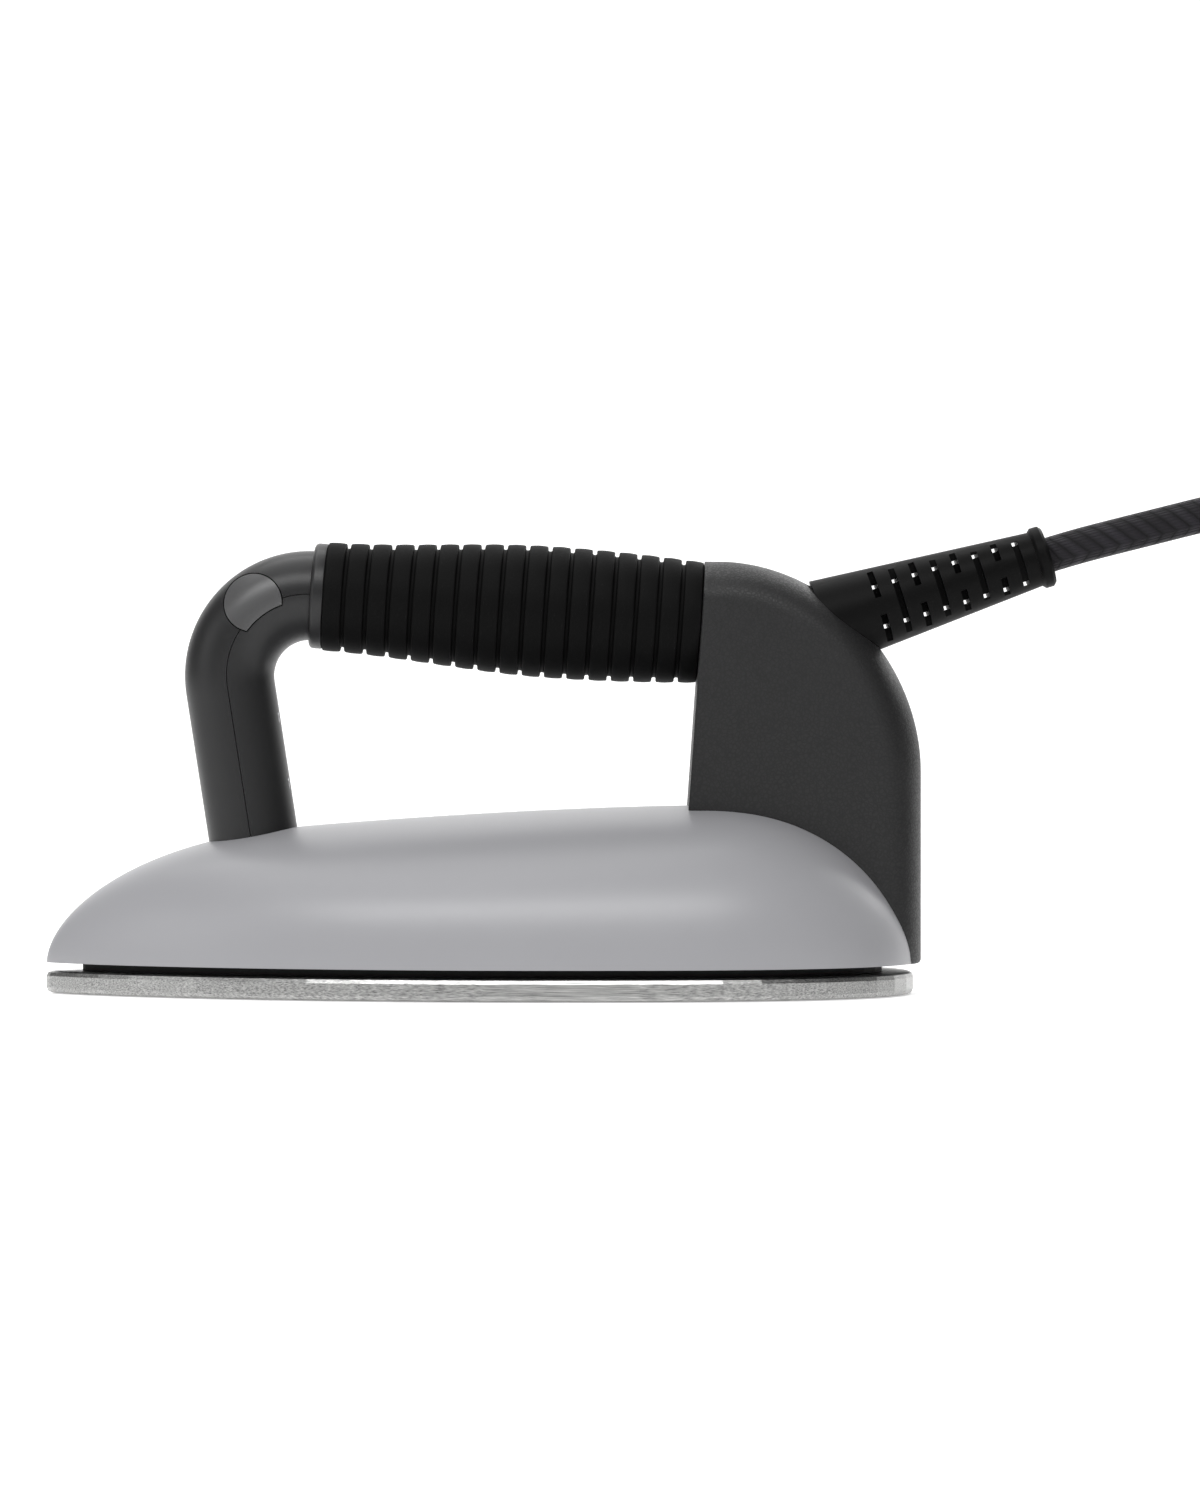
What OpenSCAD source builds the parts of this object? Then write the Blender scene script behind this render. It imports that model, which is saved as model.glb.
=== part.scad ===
// Hand iron of a steam ironing station, with the line that ties it to its boiler.
// Millimetres. Nose towards -X, heel and line towards +X, the user's left side towards -Y.
// The origin is under the middle of the iron, on the surface that the soleplate stands on.

/* [Soleplate] */
// Length of the soleplate from tip to heel
sole_length = 234; // [200:1:281]
// Width of the soleplate at its widest
sole_width = 116; // [97:1:139]
// Thickness of the soleplate
sole_thickness = 6; // [5:0.5:8]
// How far the rear housing overhangs the heel of the soleplate
heel_overhang = 2; // [0:0.5:4]
// Share of the length that lies ahead of the widest place
widest_share = 0.58; // [0.5:0.01:0.65]
// Rounding of the soleplate's edges
sole_edge = 1.4; // [0.5:0.1:2]
// Diameter of one steam hole
steam_hole_d = 2.6; // [1.5:0.1:3.5]
// Steam holes along each side of the nose
steam_holes_per_side = 7; // [3:1:9]

/* [Body] */
// Open gap between the soleplate and the cover
sole_gap = 2.2; // [1.5:0.1:4]
// Height of the cover's crown above its lower rim
cover_height = 42.4; // [36:0.2:51]
// Wall of the cover
cover_wall = 2; // [1.5:0.1:3]
// How far the black band in the gap stands back from the soleplate's edge
band_inset = 8.5; // [6:0.5:12]
// Thickness of the band's wall
band_wall = 5; // [4:0.5:7]
// How far the heater casting stands back from the soleplate's edge
casting_inset = 15; // [14:0.5:20]
// Height of the heater casting
casting_height = 15; // [12:0.5:20]
// Floor under the steam chamber
chamber_floor = 9.4; // [9:0.2:11]
// Diameter of the tubular heating element
element_d = 6.5; // [5:0.1:7]

/* [Handle] */
// Height of the front end of the grip's axis
handle_height = 107.2; // [96:0.2:129]
// Diameter of the bent tube in front
tube_d = 24.1; // [20:0.1:29]
// Wall of the bent tube
tube_wall = 2.5; // [2:0.1:3.5]
// Bend radius of the tube's centreline
bend_radius = 21.6; // [18:0.1:26]
// How far the leg leans towards the nose, in degrees
leg_lean = 8.8; // [0:0.1:15]
// Distance from the soleplate's tip to the bend's centre
nose_to_bend = 71; // [66:0.5:80]
// How far the grip slopes down towards the rear, in degrees
grip_slope = 4; // [0:0.1:8]
// Largest diameter of the grip
grip_d = 35.6; // [30:0.1:43]
// Diameter of the grip's front end
grip_front_d = 29.4; // [27:0.1:33]
// Number of ribs on the grip
grip_ribs = 17; // [12:1:24]
// Width of the grooves between the ribs
groove_width = 1.1; // [0.6:0.1:1.6]
// Depth of the grooves between the ribs
groove_depth = 1.3; // [0.6:0.1:2]
// Diameter of the collar ahead of the grip
collar_d = 28.4; // [26:0.1:32]
// Width of the collar
collar_width = 3.6; // [2:0.1:6]

/* [Button] */
// Diameter of a thumb button
button_d = 15.6; // [13:0.1:17]
// How far a thumb button travels
button_travel = 1.2; // [0.6:0.1:1.5]
// Gap around a thumb button
button_gap = 0.3; // [0.2:0.05:0.5]
// Thickness of a thumb button's cap
button_wall = 2; // [1.5:0.1:2.5]

/* [Rear housing] */
// Length of the rear housing at its foot
housing_length = 63; // [56:0.5:75]
// Width of the rear housing
housing_width = 33; // [30:0.5:38]
// Wall of the rear housing
housing_wall = 2.4; // [2:0.1:3]
// Rounding of the housing's rim along its top and back
rim_radius = 11; // [6:0.5:13]

/* [Line] */
// Diameter of the braided line
line_d = 9.5; // [8:0.1:11]
// Angle of the boot and the line above the level, in degrees
line_rise = 17; // [10:0.5:22]
// Diameter of the boot where it leaves the housing
boot_root_d = 23; // [21:0.2:27]
// Diameter of the boot's slim end
boot_tip_d = 15; // [14:0.2:18]
// Length of the boot from the housing to its end flange
boot_length = 52; // [43:1:63]
// Slots along one side of the boot
boot_slots = 8; // [5:1:9]
// Mean diameter of the coil's turns
coil_mean_d = 104; // [95:1:114]
// Turns in the coil's bottom layer
coil_turns_low = 3; // [2:1:4]

/* [Hidden] */
// Clearance between parts that are fitted by hand
fit = 0.15;
// Distance that a cut runs past the face it opens
past = 1;
// Screws: radius of the shank, radius and height of the head
shank_r = 1.5;
head_r = 2.8;
head_h = 2;
$fn = 48;

// The plan of the soleplate and everything that follows it
tip_x = -(sole_length + heel_overhang) / 2;
heel_x = tip_x + sole_length;
rear_x = heel_x + heel_overhang;
wide_x = tip_x + widest_share * sole_length;
half_w = sole_width / 2;
half_h = housing_width / 2;
rim_z = sole_thickness + sole_gap;
plan_steps = 26;
nose_fullness = 1.6;
heel_fullness = 3;

// Height profile of the cover: rounded nose, gentle rise to the crown, rounded heel
nose_end_x = tip_x + sole_length / 3;
crown_x = tip_x + 0.76 * sole_length;
crown_fall = 0.0031;
crown_fall_power = 1.6;
section_power = 2.2;
dome_stations = 22;
dome_steps = 20;

// The bend, the leg below it and the grip's axis behind it
tube_r = tube_d / 2;
bore_r = tube_r - tube_wall;
seam = 0.05;
bend_x = tip_x + nose_to_bend;
bend_z = handle_height - bend_radius;
leg_x = bend_x - bend_radius * cos(leg_lean);
leg_z = bend_z - bend_radius * sin(leg_lean);
grip_x = bend_x + bend_radius * sin(grip_slope);
grip_z = bend_z + bend_radius * cos(grip_slope);
collar_start = -0.8;
collar_end = collar_start + collar_width;

// Heater casting and steam chamber
casting_top = sole_thickness + casting_height;
chamber_z = sole_thickness + chamber_floor;
chamber_wall = 6;
chamber_end_x = wide_x - 3;
spread_depth = 1;
element_y = half_h + element_d / 2;
element_z = sole_thickness + spread_depth + 1 + element_d / 2;
element_bend_x = tip_x + 72;
element_end_x = heel_x - 34;
element_top = casting_top + 6;
gasket_t = 1;
lid_t = 1.5;
lid_z = casting_top + gasket_t;
lid_top = lid_z + lid_t;
lid_inset = casting_inset + 1.5;
lid_end_x = chamber_end_x + 7;
lid_screw_angles = [28, 46, 64, 82];
lid_screw_inset = casting_inset + 4;

// Rear housing: leaning front, flat sides, an oval back, and a foot behind the casting
foot_x = rear_x - housing_length;
foot_z = rim_z + cover_height - 1.6;
housing_floor = lid_top + 7;
heel_foot_x = heel_x - casting_inset + 2;
heel_foot_z = rim_z - 0.2;
grip_end = (foot_x - grip_x) * cos(grip_slope) + (grip_z - foot_z) * sin(grip_slope);
grip_end_x = grip_x + grip_end * cos(grip_slope);
grip_end_z = grip_z - grip_end * sin(grip_slope);
housing_top = grip_end_z + half_h;
back_x = grip_end_x + 5;
back_z = foot_z + 11;
back_power = 1.93;
rim_steps = 9;
back_steps = 15;

// Boot and line
boot_angle = 41.5;
boot_x = back_x + (rear_x - back_x) * pow(sin(boot_angle), 2 / back_power);
boot_z = back_z + (housing_top - back_z) * pow(cos(boot_angle), 2 / back_power);
boot_flange_d = 16.8;
boot_flange_t = 3.7;
boot_tail = 14;
boot_end = boot_length + boot_flange_t;
slot_w = 1.7;
line_r = line_d / 2;
line_inner_start = -24;
clamp_at = -19;
clamp_t = 7;
clamp_half_w = 11;

// Route of the line from the boot to its coil, laid out for a housing that ends at route_rear_x
route_rear_x = 118;
line_shift = rear_x - route_rear_x;
route_points = [
  [170, 0, 123], [182, 0, 126], [194, 0, 129], [206, -1, 131.5], [218, -4, 132], [229, -9, 129.5],
  [238, -15, 123], [245, -22, 113], [249, -29, 101], [251, -36, 87], [252, -43, 72], [253, -49, 57],
  [256, -54, 42], [262, -58, 28], [271, -61, 16.5], [283, -62, 8.5], [295, -61.8, 5.8]
];
lead_route = [for (p = route_points) [p[0] + line_shift, p[1], p[2]]];
coil_x = 300 + line_shift;
tie_t = 0.6;
tie_w = 12;
tie_angle = 330;
layer_rise = line_d * cos(30);
low_z = tie_t + line_r;
high_z = low_z + layer_rise;
coil_out_r = coil_mean_d / 2 + (coil_turns_low - 1) * line_r;
coil_in_r = coil_mean_d / 2 - (coil_turns_low - 1) * line_r;

// Connector at the end of the line
connector_r = 13;
connector_length = 46;

// Functions

// Half of the plan's width at x, for an outline that stands back by inset all round
function half_width(x, inset = 0) =
  let (tip = tip_x + 1.15 * inset, heel = heel_x - inset)
  x < wide_x
    ? (half_w - inset) * pow(max(0, 1 - pow((wide_x - x) / (wide_x - tip), 2)), nose_fullness / 2)
    : (half_w - inset) * sqrt(max(0, 1 - pow((x - wide_x) / (heel - wide_x), heel_fullness)));

// Stations from the tip to the heel, closer together at both ends
function plan_x(k, steps, inset = 0) =
  let (a = 180 * k / steps, tip = tip_x + 1.15 * inset, heel = heel_x - inset)
  a < 90 ? wide_x - (wide_x - tip) * cos(a) : wide_x + (heel - wide_x) * sin(a - 90);

function plan_side(inset, steps = plan_steps) =
  [for (k = [0:steps]) let (x = plan_x(k, steps, inset)) [x, half_width(x, inset)]];

// Outline of the plan, anticlockwise seen from above, starting at the tip
function plan_outline(inset = 0) =
  let (side = plan_side(inset), n = len(side))
  concat([for (k = [0:n - 1]) [side[k][0], -side[k][1]]], [for (k = [n - 2:-1:1]) side[k]]);

function crown_height(x, inset = 0) =
  let (tip = tip_x + 1.15 * inset, heel = heel_x - inset)
  let (level = cover_height - inset - crown_fall * pow(abs(crown_x - x), crown_fall_power))
  x < nose_end_x ? level * pow(max(0, 1 - pow((nose_end_x - x) / (nose_end_x - tip), 2.8)), 0.56)
  : x < crown_x ? level
  : level * pow(max(0, 1 - pow((x - crown_x) / (heel - crown_x), 2.4)), 0.6);

// One cross section of the cover at x, from one rim over the top to the other
function dome_section(x, inset, steps) =
  let (b = half_width(x, inset), h = crown_height(x, inset))
  [for (j = [0:steps]) let (a = 180 * j / steps)
    [x, b * sign(cos(a)) * pow(abs(cos(a)), 2 / section_power),
     rim_z + h * pow(max(0, sin(a)), 2 / section_power)]];

// Place in the grip's frame, whose z runs down the grip and whose x points down
function on_grip(x, y, s) =
  [grip_x + s * cos(grip_slope) - x * sin(grip_slope), y, grip_z - s * sin(grip_slope) - x * cos(grip_slope)];

// Front face of the housing at height z
function front_x(z) = foot_x + (z - foot_z) * tan(grip_slope);

// Side outline of the housing with its top and back drawn in by rim, and every wall by wall
function housing_outline(rim, wall, low_z, heel_low_z) =
  let (a = rear_x - back_x - wall - rim, b = housing_top - back_z - wall - rim)
  concat(
    [[front_x(low_z) + wall, low_z], [front_x(back_z + b) + wall, back_z + b]],
    [for (k = [0:back_steps]) let (t = 90 * k / back_steps)
      [back_x + a * pow(sin(t), 2 / back_power), back_z + b * pow(cos(t), 2 / back_power)]],
    [[back_x + a, heel_low_z], [heel_foot_x + wall, heel_low_z], [heel_foot_x + wall, low_z]]);

function unit(v) = v / norm(v);

// Rings of a tube along a path, square to it, with no twist
function ring_at(path, i, r, sides, side_dir) =
  let (n = len(path))
  let (ahead = unit(path[min(i + 1, n - 1)] - path[max(i - 1, 0)]))
  let (u = unit(side_dir - (side_dir * ahead) * ahead), v = cross(ahead, u))
  [for (k = [0:sides - 1]) path[i] + r * (cos(360 * k / sides) * u + sin(360 * k / sides) * v)];

// Points of a smooth curve through a path, with extra points between each two
function smooth(path, extra) =
  let (n = len(path))
  [for (i = [0:n - 2], k = [0:extra]) let (t = k / (extra + 1))
    let (a = path[max(i - 1, 0)], b = path[i], c = path[i + 1], d = path[min(i + 2, n - 1)])
    0.5 * (2 * b + (c - a) * t + (2 * a - 5 * b + 4 * c - d) * t * t + (3 * b - a - 3 * c + d) * t * t * t),
   path[n - 1]];

// Shared modules

// A closed solid through a list of rings that all have the same number of points.
// A folded ring runs out along one wall and back along the other
module loft(rings, folded = false) {
  n = len(rings[0]);
  m = len(rings);
  points = [for (r = rings) each r];
  sides = [for (k = [0:m - 2], i = [0:n - 1]) let (j = (i + 1) % n)
    each [[k * n + i, (k + 1) * n + i, (k + 1) * n + j], [k * n + i, (k + 1) * n + j, k * n + j]]];
  first = [for (i = [0:n - 1]) i];
  last = [for (i = [n - 1:-1:0]) (m - 1) * n + i];
  end = (m - 1) * n;
  strips = [for (i = [0:n / 2 - 2]) let (j = n - 1 - i)
    each [[i, i + 1, j - 1], [i, j - 1, j],
          [end + i, end + j - 1, end + i + 1], [end + i, end + j, end + j - 1]]];
  polyhedron(points = points, faces = concat(sides, folded ? strips : [first, last]), convexity = 8);
}

module tube_along(path, r, sides = 8, side_dir = [0, 1, 0]) {
  loft([for (i = [0:len(path) - 1]) ring_at(path, i, r, sides, side_dir)]);
}

module plate(inset, z, height) {
  translate([0, 0, z]) linear_extrude(height) polygon(plan_outline(inset));
}

// The plan, kept only ahead of x
module plate_ahead(inset, x, z, height) {
  translate([0, 0, z]) linear_extrude(height) intersection() {
    polygon(plan_outline(inset));
    translate([tip_x, -half_w]) square([x - tip_x, sole_width]);
  }
}

module in_grip() {
  translate([grip_x, 0, grip_z]) rotate([0, 90 + grip_slope, 0]) children();
}

// z runs down the leg and x points towards the nose
module in_leg() {
  translate([leg_x, 0, leg_z]) rotate([0, 180 - leg_lean, 0]) children();
}

// Turns a profile round the bend, from the grip's end to the leg's
module round_bend() {
  translate([bend_x, 0, bend_z]) rotate([90, 0, 0]) rotate([0, 0, 90 - grip_slope])
    rotate_extrude(angle = 90 + grip_slope + leg_lean, $fn = 96) translate([bend_radius, 0]) children();
}

// z runs out along the boot
module in_boot() {
  translate([boot_x, 0, boot_z]) rotate([0, 90 - line_rise, 0]) children();
}

module screw(length, r = shank_r) {
  translate([0, 0, -length]) cylinder(r = r, h = length);
  difference() {
    cylinder(r = head_r * r / shank_r, h = head_h);
    translate([0, 0, head_h / 2]) cylinder(r = 1.3 * r / shank_r, h = head_h, $fn = 6);
  }
}

// Soleplate, casting and steam chamber

// Place on the outline at an angle that runs from the tip, 0, to the widest place, 90
function on_plan(a, inset) =
  let (x = plan_x(a, 180, inset)) [x, half_width(x, inset)];

steam_hole_inset = casting_inset + chamber_wall + 4;
steam_hole_step = 54 / (steam_holes_per_side - 1);

function plan_ring(inset, z) = [for (p = plan_outline(inset)) [p[0], p[1], z]];

module each_steam_hole() {
  for (k = [0:steam_holes_per_side - 1], side = [-1, 1]) {
    p = on_plan(12 + k * steam_hole_step, steam_hole_inset);
    translate([p[0], side * p[1], 0]) children();
  }
}

module soleplate() {
  low = [[0, 1], [0.3, 0.3], [1, 0]];
  high = [[1, 0], [0.3, 0.3], [0, 1]];
  rings = concat(
    [for (e = low) plan_ring(sole_edge * e[1], sole_edge * e[0])],
    [for (e = high) plan_ring(sole_edge * e[1], sole_thickness - sole_edge * e[0])]);
  color("silver") difference() {
    loft(rings);
    each_steam_hole() translate([0, 0, -past]) cylinder(d = steam_hole_d, h = sole_thickness + 2 * past);
  }
}

// U-shaped tube with two risers; grow widens it, for the space it is cast into
module element_shape(grow = 0) {
  r = element_d / 2 + grow;
  translate([element_bend_x, 0, element_z]) rotate([0, 0, 90]) rotate_extrude(angle = 180)
    translate([element_y, 0]) circle(r);
  for (side = [-1, 1]) {
    translate([element_bend_x, side * element_y, element_z]) rotate([0, 90, 0])
      cylinder(r = r, h = element_end_x + element_d / 2 + grow - element_bend_x);
    translate([element_end_x, side * element_y, element_z])
      cylinder(r = r - 0.3, h = element_top - element_z + grow);
  }
}

module each_lid_screw() {
  for (a = lid_screw_angles, side = [-1, 1]) {
    p = on_plan(a, lid_screw_inset);
    translate([p[0], side * p[1], lid_top]) children();
  }
}
lid_screw_length = lid_t + gasket_t + 5;
port_x = [chamber_end_x - 55, chamber_end_x - 35];
thermostat_at = [wide_x + 22, -12, casting_top];
thermostat_r = 8;
thermostat_h = 8;
tab_reach = 11;
tab_t = 1.2;
fuse_at = [rear_x - 54, -9, casting_top];

module heater_casting() {
  color("gray") difference() {
    plate(casting_inset, sole_thickness, casting_height);
    plate_ahead(casting_inset + chamber_wall, chamber_end_x, chamber_z, casting_height);
    plate_ahead(casting_inset + chamber_wall, chamber_end_x - 30, sole_thickness - past, past + spread_depth);
    element_shape(seam);
    for (x = port_x) translate([x, 0, sole_thickness]) cylinder(d = 5, h = casting_height);
    each_lid_screw() translate([0, 0, -lid_screw_length - past])
      cylinder(r = shank_r + seam, h = lid_screw_length + 2 * past);
    for (side = [-1, 1]) translate(thermostat_at + [side * (tab_reach), 0, -6])
      cylinder(r = shank_r + seam, h = 6 + past);
  }
}

module heating_element() {
  color("dimgray") element_shape();
}

module element_terminals() {
  color("gainsboro") for (side = [-1, 1]) translate([element_end_x, side * element_y, element_top]) {
    cylinder(r = 2.4, h = 2);
    cylinder(r = 1.2, h = 7);
  }
}

module chamber_gasket() {
  color("orangered") difference() {
    plate_ahead(lid_inset, lid_end_x, casting_top, gasket_t);
    plate_ahead(casting_inset + chamber_wall, chamber_end_x, casting_top - past, gasket_t + 2 * past);
    each_lid_screw() translate([0, 0, -lid_t - gasket_t - past]) cylinder(r = shank_r + fit, h = 4);
  }
}

inlet_at = [chamber_end_x - 12, 7, lid_top];
hose_r = 2.5;
hose_z = lid_top + 3.3;

module chamber_lid() {
  color("lightgray") difference() {
    plate_ahead(lid_inset, lid_end_x, lid_z, lid_t);
    each_lid_screw() translate([0, 0, -lid_t - past]) cylinder(r = shank_r + fit, h = 4);
    translate(inlet_at - [0, 0, lid_t + past]) cylinder(r = 2.5 + seam, h = 4);
    each_bracket_screw() translate([0, 0, -lid_t - past]) cylinder(r = shank_r + fit, h = 4);
  }
}

module lid_screws() {
  color("silver") each_lid_screw() screw(lid_screw_length);
}

module steam_inlet() {
  color("goldenrod") translate(inlet_at) difference() {
    union() {
      cylinder(r = 5.5, h = 6.6, $fn = 6);
      translate([0, 0, -lid_t - gasket_t]) cylinder(r = 2.5, h = 5);
      translate([0, 0, hose_z - lid_top]) rotate([0, 90, 0]) cylinder(r = 1.8, h = 12);
    }
    translate([0, 0, -lid_t - gasket_t - past]) cylinder(r = 1.2, h = 7);
  }
}

// Place inside the rear housing: how far ahead of its back, and how high above its floor
function housed(ahead, y, up) = [rear_x - ahead, y, housing_floor + up];

// Place in the boot's frame: how far above its axis, and how far out along it
function on_boot(up, y, s) =
  [boot_x + s * cos(line_rise) - up * sin(line_rise), y, boot_z + s * sin(line_rise) + up * cos(line_rise)];

steam_route = concat(
  [for (x = [inlet_at[0] + 12, inlet_at[0] + 30, rear_x - 70, rear_x - 52]) [x, inlet_at[1], hose_z]],
  [housed(40, 7, -2.6), housed(33, 7, 3), housed(30, 7, 11), housed(30.5, 7, 22), housed(34, 6.5, 34),
   housed(40, 5, 45), on_boot(-13, 3, -26), on_boot(-8, 2, -29.5), on_boot(-2.4, 1.6, -28.5),
   on_boot(0, 1.6, -26), on_boot(0, 1.6, line_inner_start)]);

module steam_tube() {
  color("white") tube_along(smooth(steam_route, 1), hose_r, 8);
}

module thermostat() {
  color("tan") translate(thermostat_at) {
    cylinder(r = thermostat_r, h = thermostat_h);
    difference() {
      translate([-tab_reach - 3.5, -3.5, 0]) cube([2 * tab_reach + 7, 7, tab_t]);
      for (side = [-1, 1]) translate([side * tab_reach, 0, -past]) cylinder(r = shank_r + fit, h = 4);
    }
    for (side = [-1, 1]) translate([-0.4, side * 4 - 3, thermostat_h]) cube([0.8, 6, 7]);
  }
}

module thermostat_screws() {
  color("silver") for (side = [-1, 1])
    translate(thermostat_at + [side * tab_reach, 0, tab_t]) screw(tab_t + 4);
}

module thermal_fuse() {
  color("ivory") translate(fuse_at) {
    translate([-6, -4, 0]) cube([12, 8, 1]);
    translate([-9, 0, 3.3]) rotate([0, 90, 0]) cylinder(r = 2, h = 18);
    translate([-2, -2.5, 0.5]) cube([4, 5, 3.4]);
  }
}

// Black band and cover

heel_cut_x = heel_foot_x - fit;

module insulating_skirt() {
  flange_t = 2.8;
  flange_gap = 0.9;
  color("black") difference() {
    union() {
      plate(band_inset, sole_thickness, sole_gap + flange_t + 3);
      plate(cover_wall + flange_gap, rim_z, flange_t);
    }
    plate(band_inset + band_wall, sole_thickness - past, sole_gap + flange_t + 3 + 2 * past);
    translate([heel_cut_x, -half_h - fit, heel_foot_z - fit])
      cube([sole_length, housing_width + 2 * fit, sole_length]);
  }
}

// The cover's shell in one piece: outer dome, inner dome and the flat rim that joins them
module dome_shell() {
  n = dome_steps + 1;
  m = dome_stations - 1;
  function grid(inset) = [for (k = [1:m]) each
    dome_section(plan_x(k, dome_stations, inset), inset, dome_steps)];
  function tips(inset) = [[tip_x + 1.15 * inset, 0, rim_z], [heel_x - inset, 0, rim_z]];
  size = m * n;
  points = concat(grid(0), tips(0), grid(cover_wall), tips(cover_wall));
  function strip(base, flip) = concat(
    [for (k = [0:m - 2], j = [0:n - 2]) let (a = base + k * n + j, b = a + 1, c = b + n, d = a + n)
      each flip ? [[a, b, c], [a, c, d]] : [[a, c, b], [a, d, c]]],
    [for (j = [0:n - 2]) let (a = base + j, t = base + size) flip ? [t, a + 1, a] : [t, a, a + 1]],
    [for (j = [0:n - 2]) let (a = base + (m - 1) * n + j, t = base + size + 1)
      flip ? [t, a, a + 1] : [t, a + 1, a]]);
  inner = size + 2;
  function rim_loop(base) = concat([base + size], [for (k = [0:m - 1]) base + k * n],
    [base + size + 1], [for (k = [m - 1:-1:0]) base + k * n + n - 1]);
  outer_rim = rim_loop(0);
  inner_rim = rim_loop(inner);
  count = len(outer_rim);
  rim = [for (i = [0:count - 1]) let (j = (i + 1) % count)
    each [[outer_rim[i], outer_rim[j], inner_rim[j]], [outer_rim[i], inner_rim[j], inner_rim[i]]]];
  polyhedron(points = points, faces = concat(strip(0, false), strip(inner, true), rim), convexity = 6);
}

// Opening that the rear housing stands in, upright and rounded at the back like the housing
module housing_notch() {
  side = [for (k = [0:8]) let (a = 90 * k / 8)
    [rear_x + fit - rim_radius * (1 - cos(a)), (half_h + fit) * sin(a)]];
  linear_extrude(housing_top) polygon(concat(
    [[foot_x - fit - 0.3, -half_h - fit]],
    [for (i = [8:-1:0]) [side[i][0], -side[i][1]]],
    [for (i = [1:8]) side[i]],
    [[foot_x - fit - 0.3, half_h + fit]]));
}

module body_cover() {
  color([0.62, 0.62, 0.65]) difference() {
    dome_shell();
    housing_notch();
    in_leg() cylinder(r = tube_r + fit, h = leg_z);
  }
}

// Leg fixing inside the cover

leg_length = (leg_z - lid_top - 9) / cos(leg_lean);
anchor_length = 12;
leg_plate_t = 2.5;
leg_end_x = leg_x + (leg_length + leg_plate_t) * sin(leg_lean);
bracket_half = 9;
bracket_screw_x = 15;

module each_bracket_screw() {
  for (side = [-1, 1]) translate([leg_end_x + side * bracket_screw_x, 0, lid_top]) children();
}

module leg_bracket() {
  color("gray") difference() {
    union() {
      translate([leg_end_x - bracket_screw_x - 4, -bracket_half, lid_top])
        cube([2 * bracket_screw_x + 8, 2 * bracket_half, 2]);
      intersection() {
        for (side = [-1, 1]) translate([leg_end_x - 9, side * 7.5 - 1.5, lid_top]) cube([18, 3, 20]);
        in_leg() translate([-20, -20, leg_length + leg_plate_t / 2]) cube([40, 40, 60]);
      }
      in_leg() translate([-9, -bracket_half, leg_length]) cube([18, 2 * bracket_half, leg_plate_t]);
    }
    each_bracket_screw() translate([0, 0, -past]) cylinder(r = shank_r + fit, h = 4);
    in_leg() translate([0, 0, leg_length - past]) cylinder(r = 2.5 + fit, h = leg_plate_t + 2 * past);
  }
}

module bracket_screws() {
  color("silver") each_bracket_screw() translate([0, 0, 2]) screw(2 + lid_t);
}

module leg_anchor() {
  color("gray") in_leg() translate([0, 0, leg_length - anchor_length]) difference() {
    cylinder(r = bore_r - fit, h = anchor_length);
    translate([0, 0, 1.5]) cylinder(r = 2.5 + seam, h = anchor_length);
  }
}

module leg_screw() {
  color("silver") in_leg() translate([0, 0, leg_length + leg_plate_t]) screw(8 + leg_plate_t, 2.5);
}

// Bent tube in two shells

button_out = 2.7;
button_turn = 127;
button_trim = 1.6;
button_x = bend_x + (bend_radius + button_out) * cos(button_turn);
button_z = bend_z + (bend_radius + button_out) * sin(button_turn);
board_t = 1.6;
switch_h = 3.6;
switch_top = board_t / 2 + switch_h;
button_inner = switch_top + button_travel + 0.3;
cap_proud = 0.3;

module button_outline(grow) {
  difference() {
    translate([button_x, button_z]) circle(button_d / 2 + grow);
    translate([bend_x, bend_z]) circle(bend_radius - button_trim - grow, $fn = 96);
  }
}

// Extrudes an outline drawn in x and z away from the middle, on one side, between two depths
module sideways(side, from, to) {
  mirror([0, side < 0 ? 0 : 1, 0]) translate([0, -from, 0]) rotate([90, 0, 0])
    linear_extrude(to - from) children();
}

// Stations along the tube, from the leg's foot to the collar: centre, and direction away from the bend
bend_steps = 14;
arc_steps = 15;

function tube_stations() = concat(
  [[[leg_x + leg_length * sin(leg_lean), 0, leg_z - leg_length * cos(leg_lean)],
    [-cos(leg_lean), 0, -sin(leg_lean)]]],
  [for (k = [0:bend_steps])
    let (a = 180 + leg_lean - (90 + grip_slope + leg_lean) * k / bend_steps)
    [on_bend(a, bend_radius, 0), [cos(a), 0, sin(a)]]],
  [[on_grip(0, 0, collar_end), [sin(grip_slope), 0, cos(grip_slope)]]]);

// Half of the tube's wall at a station; side is 1 for the outer half and -1 for the inner one
function half_ring(station, side) =
  let (away = side * station[1], across = [0, -side, 0])
  [for (wall = [0, 1], k = [0:arc_steps])
    let (r = wall == 0 ? tube_r : bore_r, edge = acos(seam / r))
    let (a = (wall == 0 ? 1 : -1) * edge * (2 * k / arc_steps - 1))
    station[0] + r * (cos(a) * away + sin(a) * across)];

shell_screw_at = [10, 28];

module shell_half(side) {
  difference() {
    union() {
      loft([for (station = tube_stations()) half_ring(station, side)], folded = true);
      if (side > 0) in_leg() for (z = shell_screw_at) translate([1, 0, z]) rotate([0, 90, 0])
        cylinder(r = 2.6, h = bore_r - 0.4);
    }
    for (face = [-1, 1])
      sideways(face, button_inner - button_travel - 0.4, tube_r + past) button_outline(button_gap);
    in_leg() for (z = shell_screw_at) translate([-tube_r - past, 0, z]) rotate([0, 90, 0]) {
      cylinder(r = shank_r + seam, h = tube_r + past + 7);
      cylinder(r = head_r + fit, h = past + 2.2);
    }
  }
}

module front_outer_shell() {
  color([0.16, 0.16, 0.17]) shell_half(1);
}

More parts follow.
